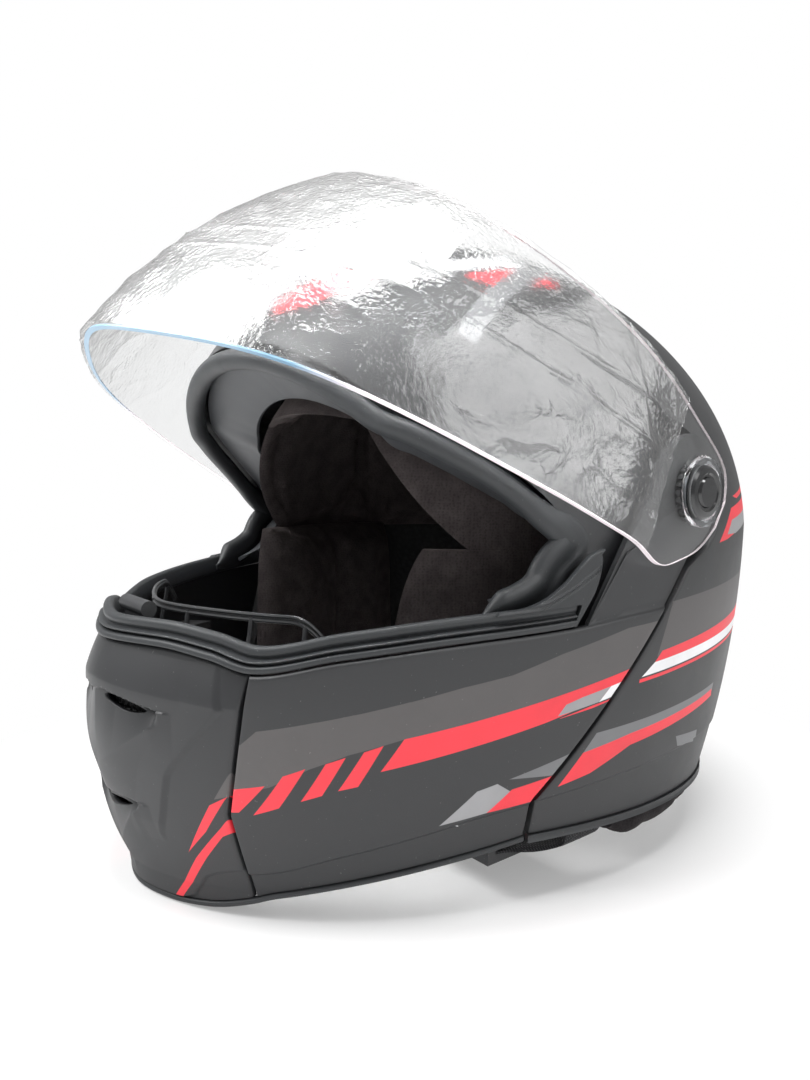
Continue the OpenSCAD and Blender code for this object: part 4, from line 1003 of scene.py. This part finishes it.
# Vent mesh: woven steel wire behind each slot, painted black and clamped between panel and bar. It
# keeps grit out of the air that the slots take in.
mesh_off, wire_r, pitch, net_rows, net_half_h = 5.7, 0.2, 1.5, 6, 4.6
mesh_black, tree, shader = finish("mesh_black", srgb(28, 28, 29), 0.45, Metallic=0.4)
chips = add(tree, "TexNoise", {"Vector": object_place(tree), "Scale": 700.0})
tree.links.new(spread(tree, chips.outputs["Fac"], (0.4, 0.7), (0.35, 0.55)), shader.inputs["Roughness"])


def joined(name, parts):
    """Several loose meshes as one piece."""
    points, faces = [], []
    for part in parts:
        faces += [tuple(len(points) + v for v in face.vertices) for face in part.data.polygons]
        points += [tuple(v.co * 1000) for v in part.data.vertices]
    made = mesh_piece(name, points, faces, parts[0].data.materials[0])
    for part in parts:
        old = part.data
        bpy.data.objects.remove(part)
        bpy.data.meshes.remove(old)
    return made


def wire(line, radius, finish, sides=5):
    """A round wire along a line of points."""
    line = np.array(line, float)
    along = unit(np.gradient(line, axis=0))
    ahead_of = np.array([0.02, 1.0, 0.03])
    side = unit(np.cross(along, ahead_of))
    up = np.cross(side, along)
    a = np.linspace(0, 2 * math.pi, sides + 1)[:-1]
    return swept("wire", line[:, None] + radius * (side[:, None] * np.cos(a)[None, :, None]
                                                   + up[:, None] * np.sin(a)[None, :, None]), finish)


def face_pt(x, z, o):
    """A point a depth o behind the bar's front, at a place seen from the front."""
    az = np.full(np.shape(x), 90.0)
    for _ in range(6):
        az = np.degrees(np.arccos(np.clip(np.abs(x) / bar_r(az, z, o), 0, 1)))
    p = bar_pt(az, z, o)
    return np.stack([x, p[..., 1], z], -1)


for node, z_mid, half in (("vent_mesh_upper", rim_z - 20, 31), ("vent_mesh_lower", rim_z - 59.5, 20)):
    wires = []
    for row in range(net_rows):
        x = np.linspace(-half, half, 4 * int(half / pitch) + 1)
        z = z_mid + (row - (net_rows - 1) / 2) * pitch + 0 * x
        weave = wire_r * cosd(180 * (x / pitch + row))
        wires.append(wire(face_pt(x, z, mesh_off + weave), wire_r, mesh_black, 4))
    for column in range(-int(half / pitch), int(half / pitch) + 1):
        z = np.linspace(z_mid - net_half_h, z_mid + net_half_h, 13)
        x = column * pitch + 0 * z
        weave = wire_r * cosd(180 * ((z - z_mid) / pitch + column))
        wires.append(wire(face_pt(x, z, mesh_off - weave), wire_r, mesh_black, 4))
    net = joined(node + "_net", wires)
    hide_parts(node)
    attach(net, "chin_bar")

# Rim seal: a rubber extrusion along the bar's top edge, with a fat round bead above and two thin
# lips below that the closed visor lies against. Its ends run into a moulded piece at each arm.
lip_section = rounded([(1.3, 0.4), (0.7, 1.4), (0.9, 2.9), (3.6, 3.1), (3.6, 3.6), (1.5, 3.9), (1.4, 4.6),
                       (4.4, 5.0), (4.2, 5.6), (3.4, 6.3), (3.2, 7.8), (4.0, 9.0), (5.4, 9.4), (7.0, 8.9),
                       (7.9, 7.4), (9.2, 4.4), (9.4, 0.4)], 2)
rim_cs = np.linspace(arm_c + 0.024, 1, 200)[:, None]
rim_top = rim_at(rim_cs)
lip_scale = mix(0.55, 1, ease((rim_cs - arm_c) / 0.3))
lip_z = rim_top + lip_section[None, :, 1]
rim_rings = bar_pt(bar_az(rim_cs, rim_top) + 0 * lip_z, lip_z, lip_section[None, :, 0] * lip_scale)
rim_seal = swept("rim_seal", np.concatenate([flip(rim_rings), rim_rings[-2::-1]]), black_rubber)
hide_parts("rim_gasket")
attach(rim_seal, "chin_bar")

# End pieces of the rim seal: moulded rubber let into the root of each arm, where they close the
# corner of the port. A thin double rib carries the seal's lips on.
end_cs = np.linspace(arm_c + 0.2, arm_c + 0.022, 60)[:, None]
end_low = rim_at(end_cs) + mix(0.4, 8.6, ease((end_cs - 0.23) / 0.012))
end_top = curve(end_cs, [(0.2, 112), (0.222, 117), (0.232, 124), (0.25, 131), (0.266, 133.5), (0.282, 130),
                         (0.3, 122), (0.325, 116.5), (0.36, 113.6), (0.4, 112.8), (0.42, 112.4)])
end_v = np.linspace(0, 1, 40)[None, :]
end_z = mix(end_low, np.maximum(end_top, end_low + 0.6), end_v)
rib_at = rim_at(end_cs) + 10.8 + 16 * clamp((0.33 - end_cs) / 0.11) ** 1.6
rib_h, rib_half, rib_step = 0.45, 0.55, 1.9
rib = rib_h * np.maximum(*(np.exp(-((end_z - rib_at + drop) / rib_half) ** 2) for drop in (0, rib_step)))
edge_fall = np.minimum(clamp((1 - end_v) * 9), clamp((end_cs - arm_c - 0.022) / 0.006))
end_out, end_in, end_round = 1.9, 3.4, 0.9
end_face = end_out - end_round * np.sqrt(1 - (1 - edge_fall) ** 2) - rib * (edge_fall > 0.9)
for side, node in ((1, "gasket_end_left"), (-1, "gasket_end_right")):
    end_faces = [bar_pt(bar_az(end_cs, end_z), end_z, o) * np.array([side, 1, 1])
                 for o in (end_face, end_in + 0 * end_z)]
    end_piece = facing_out(moulding("rim_seal_" + node[7:], *end_faces, black_rubber))
    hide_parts(node)
    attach(end_piece, "chin_bar")

# Chin liner: the foam block inside the bar's front, of the same black beads as the shell's liner. It
# is pressed in behind the panel's step.
liner_off = panel_seat + bar_t + lay_gap
chin_liner_t, chin_liner_top, chin_liner_low = 13, rim_z - 14, rim_z - 57
chin_cs = np.linspace(0.5, 1, 60)[:, None]
chin_z = mix(chin_liner_low, chin_liner_top, np.linspace(0, 1, 16)[None, :])
chin_faces = [arm_to_arm(bar_pt(bar_az(chin_cs, chin_z), chin_z, o))
              for o in (liner_off, liner_off + chin_liner_t)]
chin_liner = facing_out(moulding("chin_foam", *chin_faces, foam_finish))
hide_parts("chin_liner")
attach(chin_liner, "chin_bar")

# Breath guard: a slender rail on six posts and a foot, moulded in one of black plastic. The foot
# clips on to the chin liner.
guard_az = np.linspace(62, 118, 80)
guard_off, post_off = liner_off + 13.6, liner_off + 10.4
guard_top = rim_z + 11.4 - 9 * clamp((np.abs(guard_az - 90) - 23) / 5) ** 2


def guard_pt(az, z, o):
    """A point behind the bar's face, on either side of the middle."""
    mirrored = bar_pt(np.minimum(az, 180 - az), z, o)
    return np.where((az > 90)[:, None], flip(mirrored), mirrored)


guard_black = plastic("guard_plastic", srgb(46, 47, 49), 0.38)
rail_r, post_r = 0.75, 0.95
rails = [wire(guard_pt(guard_az, guard_top - dz, guard_off + do), rail_r, guard_black, 8)
         for dz, do in ((0, 0), (0.9, 0.5), (1.9, 0))]
foot_z = rim_z - 11.3
for az in (65, 73, 84, 96, 107, 115):
    v = np.linspace(0, 1, 12)
    top = float(curve(np.array(abs(az - 90.0)), [(0, rim_z + 10.4), (22, rim_z + 10.2), (26, rim_z + 7),
                                                 (28, rim_z + 2)]))
    post = guard_pt(np.full(12, float(az)), mix(foot_z, top, v), mix(post_off, guard_off, v))
    rails.append(wire(post, post_r, guard_black, 8))
foot = np.stack([guard_pt(guard_az, np.full(80, foot_z + dz), liner_off + o)
                 for dz, o in ((-0.7, 0.4), (0.7, 0.4), (0.7, 10.8), (-0.7, 11.6))], 1)
rails.append(swept("foot", foot, guard_black))
guard = joined("breath_guard_rail", rails)
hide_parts("breath_guard")
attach(guard, "chin_bar")

# Rubber edging along the bar's lower edge: an extrusion like the one at the back, pressed on from
# arm to arm. The helmet stands on it at the front.
trim_cs = np.linspace(0, 1, 160)[:, None]
trim_low = bar_low(trim_cs) - 0.3
trim_section = rounded([(-0.6, 0), (bar_t + 0.6, 0), (bar_t + 0.6, -edge_h), (-0.6, -edge_h)], 2)
trim_rings = bar_pt(bar_az(trim_cs, np.maximum(trim_low, 1)), bar_low(trim_cs) + 0 * trim_section[None, :, 0],
                    trim_section[None, :, 0] + 0.6)
trim_rings[..., 2] = trim_low + trim_section[None, :, 1]
chin_trim = swept("chin_edging", np.concatenate([flip(trim_rings), trim_rings[-2::-1]]), black_rubber)
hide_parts("chin_trim")
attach(chin_trim, "chin_bar")

# Visor: a clear moulded sheet, raised on the two pivots. Its plates at the sides are flat and its
# middle is a single curve. Its cut edge is painted with the light it gathers: a near-white colour with a
# faint glow, turning blue towards the front.
visor_t, visor_rest, visor_low, visor_top, visor_top_len, visor_bulge = 2, 32, 101, 208, 139, 8
visor_x = half_w + 1.9
visor_gap, visor_n = 0.4, 14
plate_low = [(-17, -6), (-13, -16), (-3, -28), (7, -36), (20, -36.5), (38, -38)]
plate_top = [(-17, 6), (-13, 13), (-2, 18.5), (11, 20), (29, 23), (52, 27)]
plates = len(plate_low)
ring_r, bore_gap = 13.3, 0.2


def soft(w, e):
    """A way from 0 to 1 that levels out softly at its end."""
    return 1 - (np.hypot(1 - w, e) - e) / (math.hypot(1, e) - e)


def visor_column(i, o, rows=7):
    """Points up one column of the closed visor: first those of the flat plate, then of the curve."""
    v = np.linspace(0, 1, rows + 1)
    if i < plates:
        fwd = mix(plate_low[i][0], plate_top[i][0], v)
        y = pivot_y - fwd
        x = side_x(np.minimum(y, dome_y), wide_z, 0) + visor_x - half_w + visor_t
        return np.stack([x + o, y, pivot_z + mix(plate_low[i][1], plate_top[i][1], v)], -1)
    w = (i - plates + 1) / visor_n
    t_low, z_low = mix(13, 90, w), mix(pivot_z - 38, visor_low, soft(w, 0.2))
    off_bar = mix(visor_x - half_w, visor_gap, ease(w / 0.3)) + visor_t
    low_pt = around(t_low, bar_r(t_low, z_low, -off_bar), z_low)
    t_top, z_top = mix(18.6, 90, w), mix(pivot_z + 27, visor_top, soft(w, 0.3))
    top_r = oval(t_top, half_w + 5.5, visor_top_len, 1.9) * (1.007 - 0.007 * ease(w / 0.3))
    facing = mix(13, 90, w) * ease(w / 0.4)
    out = np.array([cosd(facing), -sind(facing), 0])
    bulge = visor_bulge * 4 * v * (1 - v) * ease(w / 0.6)
    return mix(low_pt, around(t_top, top_r, z_top), v[:, None]) + out * (o + bulge)[:, None]


raising = Matrix.Translation((0, pivot_y, pivot_z)) @ Matrix.Rotation(math.radians(-visor_rest), 4, "X") \
    @ Matrix.Translation((0, -pivot_y, -pivot_z))


def raised(points):
    """Points of the closed visor, turned up to where it stands."""
    turn = np.array(raising)
    return points @ turn[:3, :3].T + turn[:3, 3]


def visor_net(o, first=0, cols=240, rows=40):
    """A smooth net through the columns, from the left plate round to the right one."""
    left = np.array([visor_column(i, o) for i in range(first, visor_n + plates)])
    whole = np.concatenate([flip(left), left[-2::-1]])
    smooth_up = drawn_through(np.swapaxes(whole, 0, 1), rows)
    return drawn_through(np.swapaxes(smooth_up, 0, 1), cols)


def clear(name, colour, rough, **sockets):
    """Clear plastic, which throws hardly any shadow."""
    made, tree, shader = finish(name, colour, rough, Transmission_Weight=1.0, **sockets)
    straight_through = add(tree, "BsdfTransparent", {"Color": (0.93, 0.93, 0.93, 1)})
    blend = add(tree, "MixShader", {0: add(tree, "LightPath").outputs["Is Shadow Ray"]})
    tree.links.new(shader.outputs[0], blend.inputs[1])
    tree.links.new(straight_through.outputs[0], blend.inputs[2])
    tree.links.new(blend.outputs[0], tree.nodes["Material Output"].inputs["Surface"])
    return made, tree, shader


edge_rows = np.concatenate([[0, 0.007], np.linspace(0.03, 0.97, 37), [0.993, 1]])
edge_cols = np.concatenate([[0, 0.0014], np.linspace(0.006, 0.994, 236), [0.9986, 1]])
visor_clear, tree, shader = clear("clear_visor", (0.985, 0.99, 0.99, 1), 0.0, IOR=1.32)
visor_nets = [raised(visor_net(o, cols=edge_cols, rows=edge_rows)) for o in (0, -visor_t)]
visor = moulding("clear_visor", *visor_nets, visor_clear)
# Painted glow: the cut edge gets a near-white colour and a faint emission for the light it gathers, blue
# towards the front.
painted_glow_edge, tree, shader = finish("visor_edge_painted_glow", srgb(250, 246, 248), 0.25)
shader.inputs["Emission Color"].default_value = (1, 0.97, 0.98, 1)
shader.inputs["Emission Strength"].default_value = 0.05
place = object_place(tree)
along_y = add(tree, "SeparateXYZ", {"Vector": place}).outputs["Y"]
haze = add(tree, "TexNoise", {"Vector": place, "Scale": 40.0})
forward = spread(tree, along_y, (-0.110, -0.128), (0.0, 0.75))
clouded = reckon(tree, "MULTIPLY", haze.outputs["Fac"], 0.3)
tint = add(tree, "ValToRGB", {"Fac": reckon(tree, "ADD", forward, clouded)})
tint.color_ramp.elements[0].color, tint.color_ramp.elements[0].position = srgb(252, 240, 244), 0.15
tint.color_ramp.elements[1].color, tint.color_ramp.elements[1].position = srgb(112, 150, 176), 0.9
tree.links.new(tint.outputs["Color"], shader.inputs["Base Color"])
visor.data.materials.append(painted_glow_edge)
per_skin = len(edge_cols) * len(edge_rows)
for face in visor.data.polygons:
    on_wall = len({v < per_skin for v in face.vertices}) == 2
    places = [divmod(v % per_skin, len(edge_rows)) for v in face.vertices]
    low_band = max(row for col, row in places) == 1
    end_band = max(col for col, row in places) == 1 or min(col for col, row in places) == len(edge_cols) - 2
    if on_wall or (low_band or end_band) and min(face.vertices) < per_skin:
        face.material_index = 1
facing_out(visor)


def bored(piece, at, radius):
    """Cuts a round hole through a piece, along x."""
    turns = np.linspace(0, 2 * math.pi, 97)[:-1]
    cut_by(piece, [prism([(at[0] + x, at[1] + radius * math.cos(t), at[2] + radius * math.sin(t))
                          for x in (-10, 10) for t in turns])])


for side in (-1, 1):
    bored(visor, (side * (visor_x + 1), pivot_y, pivot_z), ring_r + bore_gap)
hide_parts("visor")
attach(visor, "visor")

# Protective film: a thin loose sheet clinging to the visor's outside, creased and rippled, with
# milky patches where it lifts.
film_off, film_t, fold_h, fold_w = 0.25, 0.12, 0.4, 0.9
film_cols, film_rows = 480, 130
film_base = visor_net(0, first=4, cols=film_cols, rows=film_rows)
film_normal = unit(np.cross(np.gradient(film_base, axis=1), np.gradient(film_base, axis=0)))
film_normal *= np.sign((film_normal * (film_base - [0, dome_y, wide_z])).sum(-1, keepdims=True))


def ripple(p):
    """How far the film stands off the visor at a place, in millimetres."""
    x, y, z = p
    loose = min(1.0, max(0.0, noise.noise((x / 60, y / 60, z / 50 + 3)) + 0.75))
    broad = max(0.0, noise.noise((x / 24, y / 28, z / 20)) * 0.5 + 0.35) * 1.1
    crease = (1 - abs(noise.noise((x / 13 + z / 24, y / 15 - z / 20, z / 30 + 4)))) ** 5 * 0.55
    pucker = noise.noise((x / 8 + 5, y / 9, z / 7.5)) * 0.38
    pucker += noise.noise((x / 4.2, y / 4.4, z / 4.2 + 9)) * 0.1
    away = [z - 152 - 0.06 * y, z - 167 - 0.09 * y, y + 0.75 * (z - 150) + 14, y + 0.8 * (z - 150) - 6]
    folds = sum(fold_h * math.exp(-(d / fold_w) ** 2) for d in away)
    return 0.5 + broad + crease + folds + loose * pucker


lift = film_off + np.array([[ripple(p) for p in row] for row in film_base])[..., None]
film_faces = [raised(film_base + film_normal * (lift + o)) for o in (film_t, 0)]
film_clear, tree, shader = clear("film_clear", (1, 1, 1, 1), 0.02, IOR=1.4)
place = object_place(tree)
swirl = add(tree, "TexNoise", {"Vector": place, "Scale": 26.0, "Detail": 3.0, "Distortion": 1.4})
milky = spread(tree, swirl.outputs["Fac"], (0.46, 0.72))
tree.links.new(spread(tree, milky, (0.0, 1.0), (0.03, 0.22)), shader.inputs["Roughness"])
stipple = add(tree, "TexNoise", {"Vector": place, "Scale": 620.0, "Detail": 2.0, "Roughness": 0.4})
lively = spread(tree, swirl.outputs["Fac"], (0.3, 0.6), (0.25, 1.0))
bumped(tree, shader, reckon(tree, "MULTIPLY", stipple.outputs["Fac"], lively), 0.45)
film = facing_out(moulding("visor_film_sheet", *film_faces, film_clear))
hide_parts("visor_film")
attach(film, "visor")

# Pivot caps and rings: a domed cap of glossy black plastic over each pin, screwed down inside a
# clear bezel that holds the visor. Both are shown as their solids are drawn.
cap_gloss, tree, shader = finish("cap_gloss", srgb(22, 23, 25), 0.14, Coat_Weight=0.4, Coat_Roughness=0.06)
wear = add(tree, "TexNoise", {"Vector": object_place(tree), "Scale": 90.0, "Detail": 5.0})
tree.links.new(spread(tree, wear.outputs["Fac"], (0.35, 0.7), (0.1, 0.24)), shader.inputs["Roughness"])
bezel_clear, tree, shader = clear("bezel_clear", (0.93, 0.95, 0.97, 1), 0.03, IOR=1.45)
wear = add(tree, "TexNoise", {"Vector": object_place(tree), "Scale": 300.0, "Detail": 3.0})
bumped(tree, shader, wear.outputs["Fac"], 0.02)


def dressed(made, *nodes):
    """Gives a finish to solids that are shown as they are drawn."""
    for node in nodes:
        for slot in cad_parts[node].material_slots:
            slot.material = made


dressed(cap_gloss, "pivot_cap_left", "pivot_cap_right")
dressed(bezel_clear, "visor_ring_left", "visor_ring_right")

# Steel parts: turned pins, stamped plates and hooks, zinc plated, with fine tool marks. They are
# riveted or screwed through the shell and the bar's arms.
zinc, tree, shader = finish("zinc_plate", srgb(168, 170, 172), 0.36, Metallic=1.0)
place = object_place(tree)
blotch = add(tree, "TexNoise", {"Vector": place, "Scale": 60.0, "Detail": 6.0})
drawn_out = vectors(tree, "MULTIPLY", place, (60, 1500, 900))
marks = add(tree, "TexNoise", {"Vector": drawn_out, "Scale": 1.0, "Detail": 2.0})
tree.links.new(spread(tree, blotch.outputs["Fac"], (0.3, 0.7), (0.28, 0.46)), shader.inputs["Roughness"])
bumped(tree, shader, marks.outputs["Fac"], 0.015)
steel_parts = ("pivot_pin", "striker", "strap_anchor", "hinge_plate", "latch_hook", "hook_pin")
dressed(zinc, *(f"{part}_{side}" for part in steel_parts for side in ("left", "right")))

# Moulded parts: detent rings, the visor's catch, the release and the buckle in black, the button and
# the buckle's lever in red so that they are found at once
moulded_black = plastic("moulded_black", srgb(44, 45, 47), 0.42, 2400.0, 0.03)
moulded_red = plastic("moulded_red", srgb(200, 26, 34), 0.35, 2400.0, 0.02)
cable_rubber = rubber("cable_rubber", srgb(34, 35, 37), 0.55)
dressed(moulded_black, "detent_ring_left", "detent_ring_right", "visor_catch", "release_housing",
        "buckle_housing", "buckle_tongue")
dressed(moulded_red, "release_button", "buckle_lever")
dressed(cable_rubber, "release_cable")

# Chin strap: flat woven polyester webbing, sewn to an anchor in each side of the shell. The left half
# ends in the quick release buckle and the right half in its tongue.
webbing, tree, shader = finish("webbing", srgb(36, 36, 39), 0.85, Sheen_Weight=0.2, Specular_IOR_Level=0.2)
place = object_place(tree)
twill = add(tree, "TexWave", {"Vector": place, "Scale": 420.0, "Distortion": 0.6, "Detail": 1.0},
            bands_direction="DIAGONAL")
cross = add(tree, "TexWave", {"Vector": place, "Scale": 300.0, "Distortion": 0.3}, bands_direction="Y")
yarn = reckon(tree, "MULTIPLY", twill.outputs["Fac"], cross.outputs["Fac"])
# Painted shade: the weave is lighter on its raised yarns and darker in the dips between them.
painted_yarn_shade = add(tree, "Mix", {"Factor": yarn, 6: srgb(26, 26, 28), 7: srgb(52, 52, 56)}, data_type="RGBA")
tree.links.new(painted_yarn_shade.outputs[2], shader.inputs["Base Color"])
bumped(tree, shader, yarn, 0.2)
strap_w, strap_t, buckle_x, buckle_len = 22, 1.6, 52, 38
buckle_y, buckle_z, tongue_reach = pivot_y - 60, 12, -31.8
anchor_y, anchor_z = pivot_y - 32, edge_z + 7
anchor_x = float(side_x(np.array(anchor_y), np.array(float(anchor_z)), shell_t)) - 2.3
# Points of each half: where it lies, how wide it is, and which way its face looks in x and z
strap_head = [(anchor_x - 2.5, anchor_y, anchor_z + 4, strap_w, 1, 0),
              (anchor_x - 3.5, anchor_y, anchor_z - 8, strap_w, 1, 0),
              (anchor_x - 5, anchor_y - 2, anchor_z - 18, strap_w, 0.94, -0.33),
              (anchor_x - 9, anchor_y - 12, buckle_z + 4, strap_w, 0.53, -0.85)]
strap_paths = {
    "strap_left": (1, strap_head + [
        (buckle_x + buckle_len + 2, buckle_y + 4, buckle_z + 4.2, strap_w - 4, 0.1, -0.99),
        (buckle_x + buckle_len + 0.2, buckle_y, buckle_z + 4, strap_w - 4, 0, -1)]),
    "strap_right": (-1, strap_head + [
        (anchor_x - 30, anchor_y - 24, buckle_z + 2.5, strap_w, 0.1, -0.99),
        (buckle_x - 12, buckle_y + 1, buckle_z + 2, strap_w - 2, 0, -1),
        (0, buckle_y, buckle_z + 3, strap_w - 6, 0, -1),
        (tongue_reach, buckle_y, buckle_z + 3.7, strap_w - 8, 0, -1)])}
for node, (side, path) in strap_paths.items():
    path = np.array(path, float)
    length = np.concatenate([[0], np.cumsum(np.linalg.norm(np.diff(path[:, :3], axis=0), axis=1))])
    at = np.linspace(0, length[-1], 120)
    line = np.stack([curve(at, list(zip(length, path[:, k]))) for k in range(6)], 1)
    facing = unit(np.stack([line[:, 4], 0 * at, line[:, 5]], 1))
    across = np.linspace(-1, 1, 13)
    lobe = 0.5 * strap_t * (1 - 0.45 * np.abs(across) ** 8) * (1 + 0.06 * np.cos(across * math.pi * 5))
    strip = np.concatenate([np.stack([across, lobe], 1), np.stack([across[::-1], -lobe[::-1]], 1)])
    rings = (line[:, None, :3] + np.array([0, 1, 0]) * strip[None, :, :1] * line[:, None, 3:4] / 2
             + facing[:, None] * strip[None, :, 1:])
    strap = swept(node + "_webbing", rings * np.array([side, 1, 1]), webbing)
    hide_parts(node)
    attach(strap, "helmet")

# Floor, light and camera of a plain white studio. The floor carries the soft shadow. Both it and the
# air behind go to white for the camera, straight or through clear pieces.
floor_reach = 6000
floor_paint, tree, shader = finish("floor_white", (0.93, 0.93, 0.93, 1), 0.6)
glow = add(tree, "Emission", {"Color": (1, 1, 1, 1), "Strength": 1.0})
apart = vectors(tree, "MULTIPLY", object_place(tree), (1, 0.85, 0))
away = add(tree, "VectorMath", {0: apart}, operation="LENGTH").outputs["Value"]
fading = spread(tree, away, (0.11, 0.24), (0.3, 1.0), interpolation_type="SMOOTHSTEP")


def shown(tree):
    """1 for the camera's own rays and those through clear pieces."""
    rays = add(tree, "LightPath").outputs
    return reckon(tree, "MAXIMUM", rays["Is Camera Ray"], rays["Is Transmission Ray"])


blend = add(tree, "MixShader", {0: reckon(tree, "MULTIPLY", fading, shown(tree))})
tree.links.new(shader.outputs[0], blend.inputs[1])
tree.links.new(glow.outputs[0], blend.inputs[2])
tree.links.new(blend.outputs[0], tree.nodes["Material Output"].inputs["Surface"])
floor_corners = [(x * floor_reach, y * floor_reach, -0.2) for x, y in ((-1, -1), (1, -1), (1, 1), (-1, 1))]
floor = mesh_piece("floor", floor_corners, [(0, 1, 2, 3)], floor_paint)

air = bpy.data.worlds.new("studio_air")
bpy.context.scene.world = air
air.use_nodes = True
tree = air.node_tree
strength = spread(tree, shown(tree), (0.0, 1.0), (0.52, 1.0))
tree.links.new(strength, tree.nodes["Background"].inputs["Strength"])
tree.nodes["Background"].inputs["Color"].default_value = (1, 1, 1, 1)


look_at = Vector((0, -20, 120)) / 1000


def softbox(name, at, size, power):
    """A square lamp that faces the helmet. The one at the side only puts a sheen on it."""
    lamp = bpy.data.lights.new(name, "AREA")
    lamp.shape, lamp.size, lamp.energy = "SQUARE", size / 1000, power
    holder = bpy.data.objects.new(name, lamp)
    bpy.context.collection.objects.link(holder)
    holder.location = Vector(at) / 1000
    holder.rotation_euler = (look_at - holder.location).to_track_quat("-Z", "Y").to_euler()


softbox("key_softbox", (-500, -950, 1250), 900, 24)
softbox("top_softbox", (160, -60, 1450), 700, 20)
softbox("side_softbox", (1150, 300, 720), 950, 10)
bpy.data.objects["side_softbox"].visible_diffuse = False

camera_at = (290.7, -258.9, 159.3)
camera_az, camera_el, camera_roll = 50.25, 4.82, 1.09
focal_px, long_side_px, sensor = 796.2, 1080, 36
look = bpy.data.cameras.new("camera")
look.sensor_width, look.lens = sensor, focal_px / long_side_px * sensor
camera = bpy.data.objects.new("camera", look)
bpy.context.collection.objects.link(camera)
ahead = Vector((-sind(camera_az) * cosd(camera_el), cosd(camera_az) * cosd(camera_el), -sind(camera_el)))
right = Vector((cosd(camera_az), sind(camera_az), 0))
up = right.cross(ahead)
turned_right = right * float(cosd(camera_roll)) + up * float(sind(camera_roll))
turned_up = up * float(cosd(camera_roll)) - right * float(sind(camera_roll))
camera.matrix_world = Matrix((turned_right, turned_up, -ahead)).transposed().to_4x4()
camera.location = Vector(camera_at) / 1000
look.clip_start, look.clip_end = 0.01, 40
bpy.context.scene.camera = camera
bpy.context.scene.view_settings.view_transform = "Standard"
